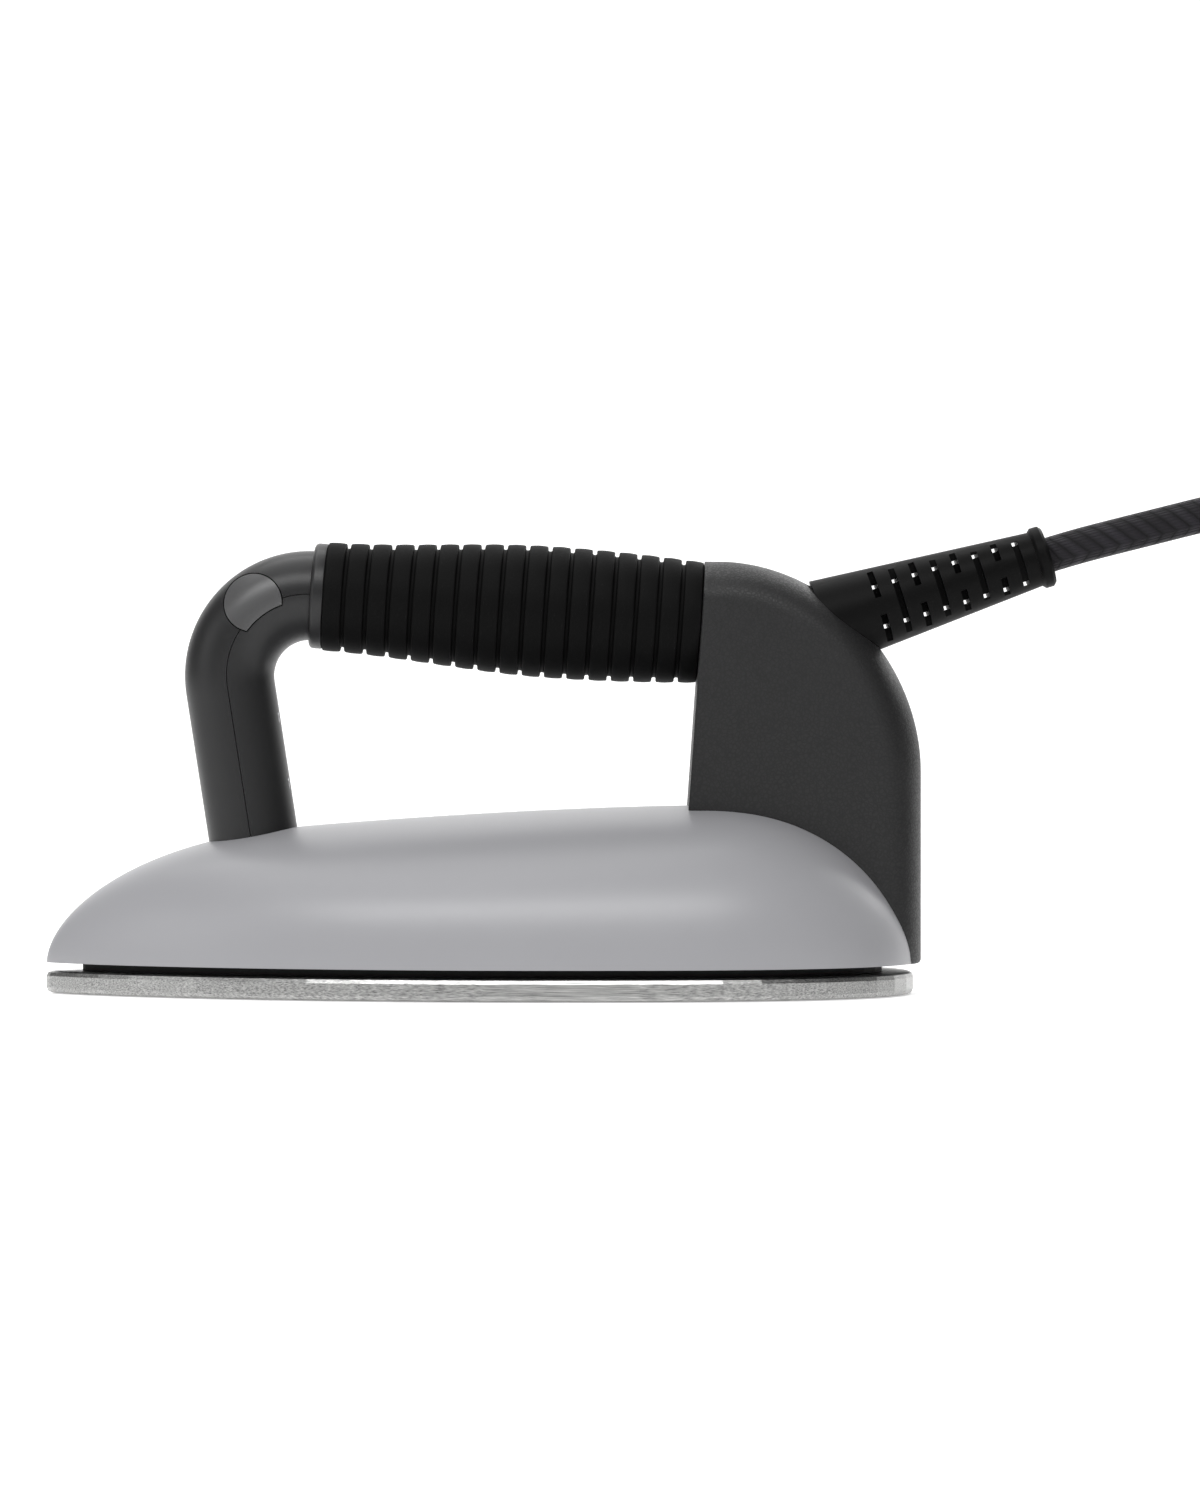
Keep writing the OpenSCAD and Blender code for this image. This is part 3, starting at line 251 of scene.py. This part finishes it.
finishes = {
    "cover": coverFinish(), "sole": soleFinish(), "tube": tubeFinish(), "grip": gripFinish(),
    "housing": housingFinish(), "button": buttonFinish(), "boot": bootFinish(),
    "band": mouldedFinish("bandBlack", (0.012, 0.012, 0.012), 0.3, (0.6, 0.75), 700.0),
    "inner": mouldedFinish("innerPlastic", (0.045, 0.045, 0.047), 0.2, (0.45, 0.6)),
    "connector": mouldedFinish("connectorBlack", (0.03, 0.03, 0.031), 0.2, (0.38, 0.5), 1200.0),
    "castMetal": mouldedFinish("castMetal", (0.55, 0.55, 0.57), 0.15, (0.4, 0.6), 400.0, 0.00008, 1.0),
    "sheetMetal": mouldedFinish("sheetMetal", (0.60, 0.61, 0.62), 0.1, (0.28, 0.42), 600.0, 0.00001, 1.0, 60.0),
    "screwMetal": mouldedFinish("screwMetal", (0.58, 0.58, 0.60), 0.1, (0.25, 0.35), 900.0, 0.00001, 1.0,
                                120.0),
    "wornSheath": mouldedFinish("wornSheath", (0.22, 0.2, 0.19), 0.35, (0.45, 0.6), 300.0, 0.00002, 1.0, 90.0),
    "tinned": mouldedFinish("tinnedBrass", (0.66, 0.58, 0.40), 0.12, (0.25, 0.4), 500.0, 0.00001, 1.0, 80.0),
    "silicone": mouldedFinish("siliconeRed", (0.42, 0.09, 0.05), 0.1, (0.45, 0.55), 500.0),
    "ceramic": mouldedFinish("ceramicPale", (0.66, 0.61, 0.52), 0.08, (0.55, 0.7), 500.0, 0.00003),
    "board": mouldedFinish("boardGreen", (0.02, 0.13, 0.05), 0.15, (0.25, 0.35), 300.0),
    "cable": mouldedFinish("cableBlack", (0.02, 0.02, 0.021), 0.2, (0.5, 0.6), 600.0),
    "lead": mouldedFinish("leadRed", (0.35, 0.03, 0.025), 0.15, (0.5, 0.6), 600.0),
    "strap": mouldedFinish("strapBlack", (0.02, 0.02, 0.021), 0.4, (0.8, 0.9), 1500.0, 0.00015),
}

nodesOfFinish = {
    "sole": ["soleplate"],
    "castMetal": ["heater_casting"],
    "wornSheath": ["heating_element"],
    "tinned": ["element_terminals", "steam_inlet", "leg_anchor", "connector_contacts", "steam_nipple"],
    "silicone": ["chamber_gasket", "steam_tube", "nipple_seal"],
    "sheetMetal": ["chamber_lid", "leg_bracket"],
    "screwMetal": ["lid_screws", "thermostat_screws", "bracket_screws", "leg_screw", "shell_screws",
                   "button_spring_left", "button_spring_right", "housing_screws", "terminal_screws",
                   "clamp_screws"],
    "ceramic": ["thermostat", "thermal_fuse", "switch_plunger_left", "switch_plunger_right", "terminal_block"],
    "band": ["insulating_skirt"],
    "cover": ["body_cover"],
    "tube": ["front_outer_shell", "front_inner_shell", "grip_collar"],
    "inner": ["grip_core", "switch_left", "switch_right", "line_clamp", "clamp_base"],
    "grip": ["grip_sleeve", "connector_ring"],
    "button": ["button_left", "button_right"],
    "board": ["switch_board"],
    "cable": ["button_cable", "line_inner", "line_lead", "line_coil", "line_tail"],
    "housing": ["rear_housing_left", "rear_housing_right"],
    "lead": ["power_leads"],
    "boot": ["strain_relief"],
    "strap": ["coil_tie"],
    "connector": ["connector_shell"],
}
for finishName, nodeNames in nodesOfFinish.items():
    for nodeName in nodeNames:
        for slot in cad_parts[nodeName].material_slots:
            slot.material = finishes[finishName]
print("materials made")


def addPiece(name, shape, finishName, sharpAngle):
    mesh = bpy.data.meshes.new(name)
    bmesh.ops.recalc_face_normals(shape, faces=shape.faces)
    shape.to_mesh(mesh)
    shape.free()
    mesh.shade_smooth()
    mesh.set_sharp_from_angle(angle=radians(sharpAngle))
    mesh.materials.append(finishes[finishName])
    piece = bpy.data.objects.new(name, mesh)
    bpy.context.scene.collection.objects.link(piece)
    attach(piece, "iron")
    return piece


def gridShape(across, along, where):
    # a grid whose corners run from 0 to 1 both ways, then each point is moved to its place
    shape = bmesh.new()
    bmesh.ops.create_grid(shape, x_segments=across, y_segments=along, size=0.5)
    for vert in shape.verts:
        vert.co = Vector(where(vert.co.x + 0.5, vert.co.y + 0.5)) * mm
    bmesh.ops.remove_doubles(shape, verts=shape.verts, dist=0.000002)
    return shape


def turnedShape(outline, steps=96):
    # a ring turned round the grip's axis from an outline of radius and height
    shape = bmesh.new()
    verts = [shape.verts.new((r * mm, 0, z * mm)) for r, z in outline]
    edges = [shape.edges.new((a, b)) for a, b in zip(verts, verts[1:] + verts[:1])]
    bmesh.ops.spin(shape, geom=verts + edges, cent=(0, 0, 0), axis=(0, 0, 1), angle=2 * pi, steps=steps,
                   use_merge=True)
    bmesh.ops.remove_doubles(shape, verts=shape.verts, dist=0.000001)
    start = Matrix.Translation(Vector(onGrip(0, 0, 0)) * mm)
    turn = Matrix.Rotation(pi / 2 + radians(tubeSettings["slope"]), 4, "Y")
    bmesh.ops.transform(shape, matrix=start @ turn, verts=shape.verts)
    return shape


def smoothStep(t):
    t = min(1.0, max(0.0, t))
    return t * t * (3 - 2 * t)


def smoothLine(points, step):
    # points of a smooth curve through the route, about one step apart
    line = []
    for i in range(len(points) - 1):
        a, b = Vector(points[max(i - 1, 0)]), Vector(points[i])
        c, d = Vector(points[i + 1]), Vector(points[min(i + 2, len(points) - 1)])
        count = max(1, round((c - b).length / step))
        for k in range(count):
            t = k / count
            line.append(0.5 * (2 * b + (c - a) * t + (2 * a - 5 * b + 4 * c - d) * t * t
                               + (3 * b - a - 3 * c + d) * t ** 3))
    line.append(Vector(points[-1]))
    return line


lineSettings = {
    "diameter": 9.5, "boot": (99.1, 101.8), "rise": 17.0, "bootEnd": 55.7,
    "lead": [(170, 0, 123), (182, 0, 126), (194, 0, 129), (206, -1, 131.5), (218, -4, 132), (229, -9, 129.5),
             (238, -15, 123), (245, -22, 113), (249, -29, 101), (251, -36, 87), (252, -43, 72), (253, -49, 57),
             (256, -54, 42), (262, -58, 28), (271, -61, 16.5), (283, -62, 8.5), (295, -61.8, 5.8)],
    "tail": [(331, -47.5, 18), (344, -36.5, 21.5), (350, -27, 22), (353, -17, 23), (353.5, -6, 25),
             (351, 5, 28.4), (346, 14.5, 31.6)],
    "coilCentre": 300.0, "lowest": 5.35, "tailTurn": 93.0, "pressed": 0.03, "declared": 1.8,
    # the coil's radius holds between these turns and moves over in between
    "radii": [(0, 61.5), (0.55, 61.5), (0.8, 52), (1.55, 52), (1.8, 42.5), (2.3, 42.5), (2.55, 47.25),
              (3.3, 47.25), (3.55, 56.75), (4.27, 56.75)],
}


def coilRadius(turn):
    stops = lineSettings["radii"]
    for (start, a), (end, b) in zip(stops, stops[1:]):
        if turn <= end:
            return a + (b - a) * smoothStep((turn - start) / (end - start))
    return stops[-1][1]


def coilPoints(perTurn=96):
    d = lineSettings["diameter"]
    count = round(lineSettings["radii"][-1][0] * perTurn)
    radius = [coilRadius(k / perTurn) for k in range(count + 1)]
    height = []
    for k, r in enumerate(radius):
        z = lineSettings["lowest"]
        for under in range(k - perTurn, -1, -perTurn):
            gap = abs(r - radius[under])
            if gap < d - lineSettings["pressed"]:
                z = max(z, height[under] + sqrt(d * d - gap * gap))
        height.append(z)
    for sweep in range(6):
        height = [height[0]] + [(height[i - 1] + 2 * height[i] + height[i + 1]) / 4
                                for i in range(1, count)] + [height[-1]]
    points = []
    for k in range(count + 1):
        a = radians(-90 + 360 * k / perTurn)
        points.append(Vector((lineSettings["coilCentre"] + radius[k] * cos(a), radius[k] * sin(a), height[k])))
    return points


def linePoints():
    s, rise = lineSettings, radians(lineSettings["rise"])
    root = Vector((s["boot"][0], 0, s["boot"][1]))
    axis = Vector((cos(rise), 0, sin(rise)))
    leaving = root + axis * s["bootEnd"]
    coil = coilPoints()
    turned = Matrix.Rotation(radians(s["tailTurn"]), 4, "Z")
    centre = Vector((s["coilCentre"], 0, 0))
    tail = [centre + turned @ (Vector(p) - centre) for p in s["tail"]]
    lead = smoothLine([leaving, leaving + axis * 8] + [Vector(p) for p in s["lead"]] + coil[1:3], 3.0)
    cut = min(range(len(lead)), key=lambda i: (lead[i] - coil[1]).length)
    end = smoothLine(coil[-3:] + tail, 3.0)
    start = min(range(len(end)), key=lambda i: (end[i] - coil[-1]).length)
    line = lead[:cut] + coil[1:] + end[start + 1:]
    for sweep in range(3):
        line = [line[0], line[1]] + [(line[i - 1] + 2 * line[i] + line[i + 1]) / 4
                                     for i in range(2, len(line) - 2)] + [line[-2], line[-1]]
    return [p * mm for p in line]


def makeLine():
    points = linePoints()
    length = sum((b - a).length for a, b in zip(points, points[1:]))
    print("line", round(length, 3), "m long")
    diameter = lineSettings["diameter"] * mm
    data = bpy.data.curves.new("braidedLine", "CURVE")
    data.dimensions = "3D"
    spline = data.splines.new("POLY")
    spline.points.add(len(points) - 1)
    for spot, point in zip(spline.points, points):
        spot.co = (*point, 1)
    data.bevel_depth = diameter / 2
    data.bevel_resolution = 4
    data.use_fill_caps = True
    data.materials.append(braidFinish(length))
    piece = bpy.data.objects.new("braidedLine", data)
    bpy.context.scene.collection.objects.link(piece)
    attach(piece, "iron")
    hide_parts("line_lead", "line_coil", "line_tail")
    return piece


makeLine()
print("line laid")

bodySettings = {"tip": -118.0, "heel": 116.0, "wide": 17.72, "half": 58.0, "rim": 8.2, "height": 42.4,
                "wall": 2.0, "noseEnd": -40.0, "crown": 59.84, "sectionPower": 2.2,
                "tipInset": 1.15, "noseFullness": 0.8, "heelFullness": 3, "fall": 0.0031, "fallPower": 1.6,
                "nosePowers": (2.8, 0.56), "heelPowers": (2.4, 0.6)}


def halfWidth(x, inset=0.0):
    s = bodySettings
    tip, heel = s["tip"] + s["tipInset"] * inset, s["heel"] - inset
    half = s["half"] - inset
    if x < s["wide"]:
        return half * max(0.0, 1 - ((s["wide"] - x) / (s["wide"] - tip)) ** 2) ** s["noseFullness"]
    return half * sqrt(max(0.0, 1 - ((x - s["wide"]) / (heel - s["wide"])) ** s["heelFullness"]))


def crownHeight(x, inset=0.0):
    s = bodySettings
    tip, heel = s["tip"] + s["tipInset"] * inset, s["heel"] - inset
    level = s["height"] - inset - s["fall"] * abs(s["crown"] - x) ** s["fallPower"]
    if x < s["noseEnd"]:
        steep, full = s["nosePowers"]
        return level * max(0.0, 1 - ((s["noseEnd"] - x) / (s["noseEnd"] - tip)) ** steep) ** full
    if x > s["crown"]:
        steep, full = s["heelPowers"]
        return level * max(0.0, 1 - ((x - s["crown"]) / (heel - s["crown"])) ** steep) ** full
    return level


def coverPoint(u, v, inset=0.0):
    s = bodySettings
    tip, heel, a = s["tip"] + s["tipInset"] * inset, s["heel"] - inset, pi * v
    if a < pi / 2:
        x = s["wide"] - (s["wide"] - tip) * cos(a)
    else:
        x = s["wide"] + (heel - s["wide"]) * sin(a - pi / 2)
    # the section turns evenly from one rim over the top to the other
    b = pi * u
    y = halfWidth(x, inset) * (1 if cos(b) > 0 else -1) * abs(cos(b)) ** (2 / s["sectionPower"])
    return x, y, s["rim"] + crownHeight(x, inset) * max(0.0, sin(b)) ** (2 / s["sectionPower"])


def cutAway(piece, cutter):
    # takes one piece's shape out of another and drops the cutter
    cut = piece.modifiers.new("cut", "BOOLEAN")
    cut.operation, cut.solver, cut.object = "DIFFERENCE", "EXACT", cutter
    view = bpy.context.evaluated_depsgraph_get()
    mesh = bpy.data.meshes.new_from_object(piece.evaluated_get(view))
    old = piece.data
    piece.modifiers.clear()
    piece.data = mesh
    bpy.data.meshes.remove(old)
    bpy.data.objects.remove(cutter)
    return piece


def cutterFrom(shape):
    mesh = bpy.data.meshes.new("cutter")
    bmesh.ops.recalc_face_normals(shape, faces=shape.faces)
    shape.to_mesh(mesh)
    shape.free()
    cutter = bpy.data.objects.new("cutter", mesh)
    bpy.context.scene.collection.objects.link(cutter)
    return cutter


def makeCover():
    shape = gridShape(72, 120, coverPoint)
    inside = gridShape(72, 120, lambda u, v: coverPoint(u, v, bodySettings["wall"]))
    spare = bpy.data.meshes.new("spare")
    inside.to_mesh(spare)
    inside.free()
    shape.from_mesh(spare)
    bpy.data.meshes.remove(spare)
    # the rim joins the outer and the inner skin
    rims = [edge for edge in shape.edges if edge.is_boundary]
    bmesh.ops.bridge_loops(shape, edges=rims)
    piece = addPiece("bodyCover", shape, "cover", sharpAngle=50.0)
    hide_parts("body_cover")
    return piece


makeCover()
print("cover made")

tubeSettings = {"bend": (-47.0, 85.6), "radius": 21.6, "lean": 8.8, "slope": 4.0, "outside": 12.05,
                "inside": 9.55, "legLength": 50.1, "buttonAt": (-61.62, 105.01), "buttonRadius": 7.8,
                "buttonMiddle": 8.0,
                "trim": 20.0, "gap": 0.3, "collarReach": 2.8}


def onGrip(down, y, along):
    # along the grip's axis, from its front end
    slope = radians(tubeSettings["slope"])
    x0 = tubeSettings["bend"][0] + tubeSettings["radius"] * sin(slope)
    z0 = tubeSettings["bend"][1] + tubeSettings["radius"] * cos(slope)
    return (x0 + along * cos(slope) - down * sin(slope), y, z0 - along * sin(slope) - down * cos(slope))


def tubeStation(v):
    # centre and outward direction of the tube, from the leg's foot to the collar
    s = tubeSettings
    lean, slope = radians(s["lean"]), radians(s["slope"])
    bendLength = s["radius"] * (pi / 2 + lean + slope)
    run = v * (s["legLength"] + bendLength + s["collarReach"]) - s["legLength"]
    if run < 0:
        a = pi + lean
        centre = (s["bend"][0] + s["radius"] * cos(a) - run * sin(lean),
                  s["bend"][1] + s["radius"] * sin(a) + run * cos(lean))
    elif run < bendLength:
        a = pi + lean - run / s["radius"]
        centre = (s["bend"][0] + s["radius"] * cos(a), s["bend"][1] + s["radius"] * sin(a))
    else:
        a = pi / 2 - slope
        centre = (s["bend"][0] + s["radius"] * cos(a) + (run - bendLength) * cos(slope),
                  s["bend"][1] + s["radius"] * sin(a) - (run - bendLength) * sin(slope))
    return centre, (cos(a), sin(a))


def makeTubeHalf(name, node, side):
    s = tubeSettings

    def where(u, v):
        (x, z), (ax, az) = tubeStation(v)
        a = radians(u * 180 - 90) * 0.995
        out = side * s["outside"] * cos(a)
        return x + out * ax, s["outside"] * sin(a), z + out * az

    shape = gridShape(56, 110, where)
    bmesh.ops.recalc_face_normals(shape, faces=shape.faces)
    bendCentre = Vector((s["bend"][0], 0, s["bend"][1])) * mm
    outward = sum(face.normal.dot(face.calc_center_median() - bendCentre) * side for face in shape.faces)
    if outward < 0:
        bmesh.ops.reverse_faces(shape, faces=shape.faces)
    bmesh.ops.solidify(shape, geom=shape.faces[:], thickness=(s["outside"] - s["inside"]) * mm)
    piece = addPiece(name, shape, "tube", sharpAngle=40.0)
    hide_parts(node)
    return piece


def buttonCutter(side):
    # round opening for the button, trimmed by the arc that faces the bend's centre
    s = tubeSettings
    shape = bmesh.new()
    turn = Matrix.Rotation(pi / 2, 4, "X")
    middle = Vector((s["buttonAt"][0], side * s["buttonMiddle"], s["buttonAt"][1])) * mm
    opening = (s["buttonRadius"] + s["gap"]) * mm
    bmesh.ops.create_cone(shape, cap_ends=True, segments=96, radius1=opening, radius2=opening, depth=14 * mm,
                          matrix=Matrix.Translation(middle) @ turn)
    cutter = cutterFrom(shape)
    trim = bmesh.new()
    inner = (s["trim"] - s["gap"]) * mm
    bendCentre = Vector((s["bend"][0], side * s["buttonMiddle"], s["bend"][1])) * mm
    bmesh.ops.create_cone(trim, cap_ends=True, segments=160, radius1=inner, radius2=inner, depth=30 * mm,
                          matrix=Matrix.Translation(bendCentre) @ turn)
    return cutAway(cutter, cutterFrom(trim))


outerHalf = makeTubeHalf("tubeOuterHalf", "front_outer_shell", 1)
innerHalf = makeTubeHalf("tubeInnerHalf", "front_inner_shell", -1)
for half in (outerHalf, innerHalf):
    for side in (-1, 1):
        cutAway(half, buttonCutter(side))
    half.data.shade_smooth()
    half.data.set_sharp_from_angle(angle=radians(40))
print("tube made")

gripSettings = {"start": 2.85, "end": 104.15, "ribs": 17, "groove": 1.1, "depth": 1.3, "core": 9.9,
                "edge": 0.45, "front": 14.7, "full": 17.8, "rear": 16.3}


def gripRadius(u):
    s = gripSettings
    if u < 0.6:
        return s["front"] + (s["full"] - s["front"]) * smoothStep(u / 0.6)
    return s["full"] - (s["full"] - s["rear"]) * ((u - 0.6) / 0.4) ** 2


def makeGrip():
    s = gripSettings
    length = s["end"] - s["start"]
    pitch = (length + s["groove"]) / s["ribs"]
    rib = pitch - s["groove"]
    outline = []
    for k in range(s["ribs"]):
        first = k * pitch
        for step in range(5):  # rounded front corner
            a = radians(90 * step / 4)
            outline.append((first + s["edge"] * (1 - cos(a)), -s["edge"] * (1 - sin(a))))
        for step in range(1, 5):  # gently crowned rib
            outline.append((first + s["edge"] + (rib - 2 * s["edge"]) * step / 5, 0.12 * sin(pi * step / 5)))
        for step in range(5):
            a = radians(90 * step / 4)
            outline.append((first + rib - s["edge"] * (1 - sin(a)), -s["edge"] * (1 - cos(a))))
        if k < s["ribs"] - 1:
            outline.append((first + rib, -s["depth"] + 0.25))
            outline.append((first + rib + 0.25, -s["depth"]))
            outline.append((first + pitch - 0.25, -s["depth"]))
            outline.append((first + pitch, -s["depth"] + 0.25))
    around = [(gripRadius(along / length) + out - 0.12, s["start"] + along) for along, out in outline]
    around += [(s["core"], s["start"] + length), (s["core"], s["start"])]
    piece = addPiece("ribbedGrip", turnedShape(around), "grip", sharpAngle=50.0)
    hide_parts("grip_sleeve")


makeGrip()
print("grip made")

collarSettings = {"start": -0.8, "end": 2.8, "radius": 14.2, "bore": 12.2, "frontRound": 1.3, "rearRound": 0.4}


def makeCollar():
    s = collarSettings
    outline = [(s["bore"], s["start"])]
    for step in range(7):  # full front edge
        a = radians(90 * step / 6)
        outline.append((s["radius"] - s["frontRound"] * (1 - sin(a)),
                        s["start"] + s["frontRound"] * (1 - cos(a))))
    for step in range(4):
        a = radians(90 * step / 3)
        outline.append((s["radius"] - s["rearRound"] * (1 - cos(a)), s["end"] - s["rearRound"] * (1 - sin(a))))
    outline.append((s["bore"], s["end"]))
    piece = addPiece("roundedCollar", turnedShape(outline), "tube", sharpAngle=40.0)
    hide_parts("grip_collar")


makeCollar()
print("collar made")

housingSettings = {"footX": 55.0, "footZ": 49.0, "backX": 63.55, "backZ": 60.0, "rear": 118.0, "top": 116.37,
                   "power": 1.93, "half": 16.5, "rim": 11.0, "floor": 30.5, "heelX": 103.0, "heelZ": 8.0,
                   "corner": 1.2, "edge": 0.9}


def housingOutline(rim, edge, count=44):
    s = housingSettings
    a, b = s["rear"] - s["backX"] - rim, s["top"] - s["backZ"] - rim
    lean = tan(radians(4))
    points = []

    def front(z):
        return s["footX"] + (z - s["footZ"]) * lean + edge

    low, high = s["floor"], s["backZ"] + b
    for k in range(13):
        z = low + (high - low) * k / 12
        points.append((front(z), z))
    for k in range(1, count + 1):
        t = pi / 2 * k / count
        points.append((s["backX"] + a * max(0.0, sin(t)) ** (2 / s["power"]),
                       s["backZ"] + b * max(0.0, cos(t)) ** (2 / s["power"])))
    right = s["backX"] + a
    bottom = s["heelZ"] + edge * 0.5
    for k in range(1, 8):
        points.append((right, s["backZ"] + (bottom + s["corner"] - s["backZ"]) * k / 7))
    for k in range(1, 5):
        t = pi / 2 * k / 4
        points.append((right - s["corner"] * (1 - cos(t)), bottom + s["corner"] * (1 - sin(t))))
    points += [(s["heelX"] + 1, bottom), (s["heelX"], bottom + 1), (s["heelX"], (bottom + low) / 2),
               (s["heelX"], low), ((s["heelX"] + front(low)) / 2, low)]
    return points


def makeHousingHalf(name, node, side):
    s = housingSettings
    rings = 16
    count = len(housingOutline(0, 0))

    def where(u, v):
        theta = pi / 2 * min(1.0, v)
        rim = s["rim"] * (1 - cos(theta))
        edge = s["edge"] * max(0.0, (v - 0.8) / 0.2) ** 2
        points = housingOutline(rim, edge)
        x, z = points[round(u * count) % count]
        return x, side * (0.04 + (s["half"] - 0.04) * sin(theta)), z

    shape = gridShape(count, rings, where)
    holes = [edge for edge in shape.edges if edge.is_boundary]
    flat = [edge for edge in holes if all(abs(abs(v.co.y) - s["half"] * mm) < 1e-6 for v in edge.verts)]
    bmesh.ops.contextual_create(shape, geom=flat)
    bmesh.ops.contextual_create(shape, geom=[edge for edge in holes if edge not in flat])
    piece = addPiece(name, shape, "housing", sharpAngle=38.0)
    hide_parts(node)


makeHousingHalf("housingLeftHalf", "rear_housing_left", -1)
makeHousingHalf("housingRightHalf", "rear_housing_right", 1)
print("housing made")

stageSettings = {"near": -3.5, "turnAt": 1.6, "turnRadius": 1.2, "high": 4.0, "wide": 7.0, "glow": 0.42}


def makeStage():
    # a pale floor that curves up into its own backdrop
    s = stageSettings
    f = Finish("paleFloor")
    mottle = f.noise(f.place(), 3.0, 2.0)
    base = f.blend(mottle, tone(0.86), tone(0.88))
    pale = f.close(Base_Color=base, Roughness=0.9, Emission_Color=(1, 1, 1, 1), Emission_Strength=s["glow"])

    def where(u, v):
        flat, bend = s["turnAt"] - s["near"], s["turnRadius"] * pi / 2
        run = v * (flat + bend + s["high"])
        if run < flat:
            y, z = s["near"] + run, 0.0
        elif run < flat + bend:
            a = (run - flat) / s["turnRadius"]
            y, z = s["turnAt"] + s["turnRadius"] * sin(a), s["turnRadius"] * (1 - cos(a))
        else:
            y, z = s["turnAt"] + s["turnRadius"], s["turnRadius"] + run - flat - bend
        return (u - 0.5) * s["wide"] / mm, y / mm, (z - 0.0002) / mm

    shape = gridShape(2, 120, where)
    mesh = bpy.data.meshes.new("floor")
    bmesh.ops.recalc_face_normals(shape, faces=shape.faces)
    shape.to_mesh(mesh)
    shape.free()
    mesh.shade_smooth()
    mesh.materials.append(pale)
    floor = bpy.data.objects.new("floor", mesh)
    bpy.context.scene.collection.objects.link(floor)


lamps = {
    "frontHigh": {"at": (-0.10, -0.80, 0.92), "aim": (0.0, 0.0, 0.05), "size": (1.3, 0.34), "power": 9.5},
    "overhead": {"at": (-0.25, 0.15, 1.3), "aim": (0.0, 0.0, 0.05), "size": (1.2, 0.9), "power": 5.5},
    "backdrop": {"at": (0.0, 1.0, 2.4), "aim": (0.0, 2.8, 1.0), "size": (3.0, 0.6), "power": 45.0},
    "rearRim": {"at": (0.7, 0.9, 0.7), "aim": (0.05, 0.0, 0.06), "size": (0.8, 0.6), "power": 4.0},
    "leftSide": {"at": (-1.3, -0.5, 0.5), "aim": (0.0, 0.0, 0.06), "size": (0.7, 0.7), "power": 2.0},
}


def makeLamps():
    for name, s in lamps.items():
        data = bpy.data.lights.new(name, "AREA")
        data.shape = "RECTANGLE"
        data.size, data.size_y = s["size"]
        data.energy = s["power"]
        lamp = bpy.data.objects.new(name, data)
        lamp.location = s["at"]
        lamp.rotation_euler = (Vector(s["aim"]) - Vector(s["at"])).to_track_quat("-Z", "Y").to_euler()
        bpy.context.scene.collection.objects.link(lamp)
    world = bpy.data.worlds.new("air")
    world.use_nodes = True
    world.node_tree.nodes["Background"].inputs["Color"].default_value = (1, 1, 1, 1)
    world.node_tree.nodes["Background"].inputs["Strength"].default_value = 0.16
    bpy.context.scene.world = world
    bpy.context.scene.view_settings.view_transform = "Standard"  # colours come out as they are mixed


makeStage()
makeLamps()
print("stage and lamps set")
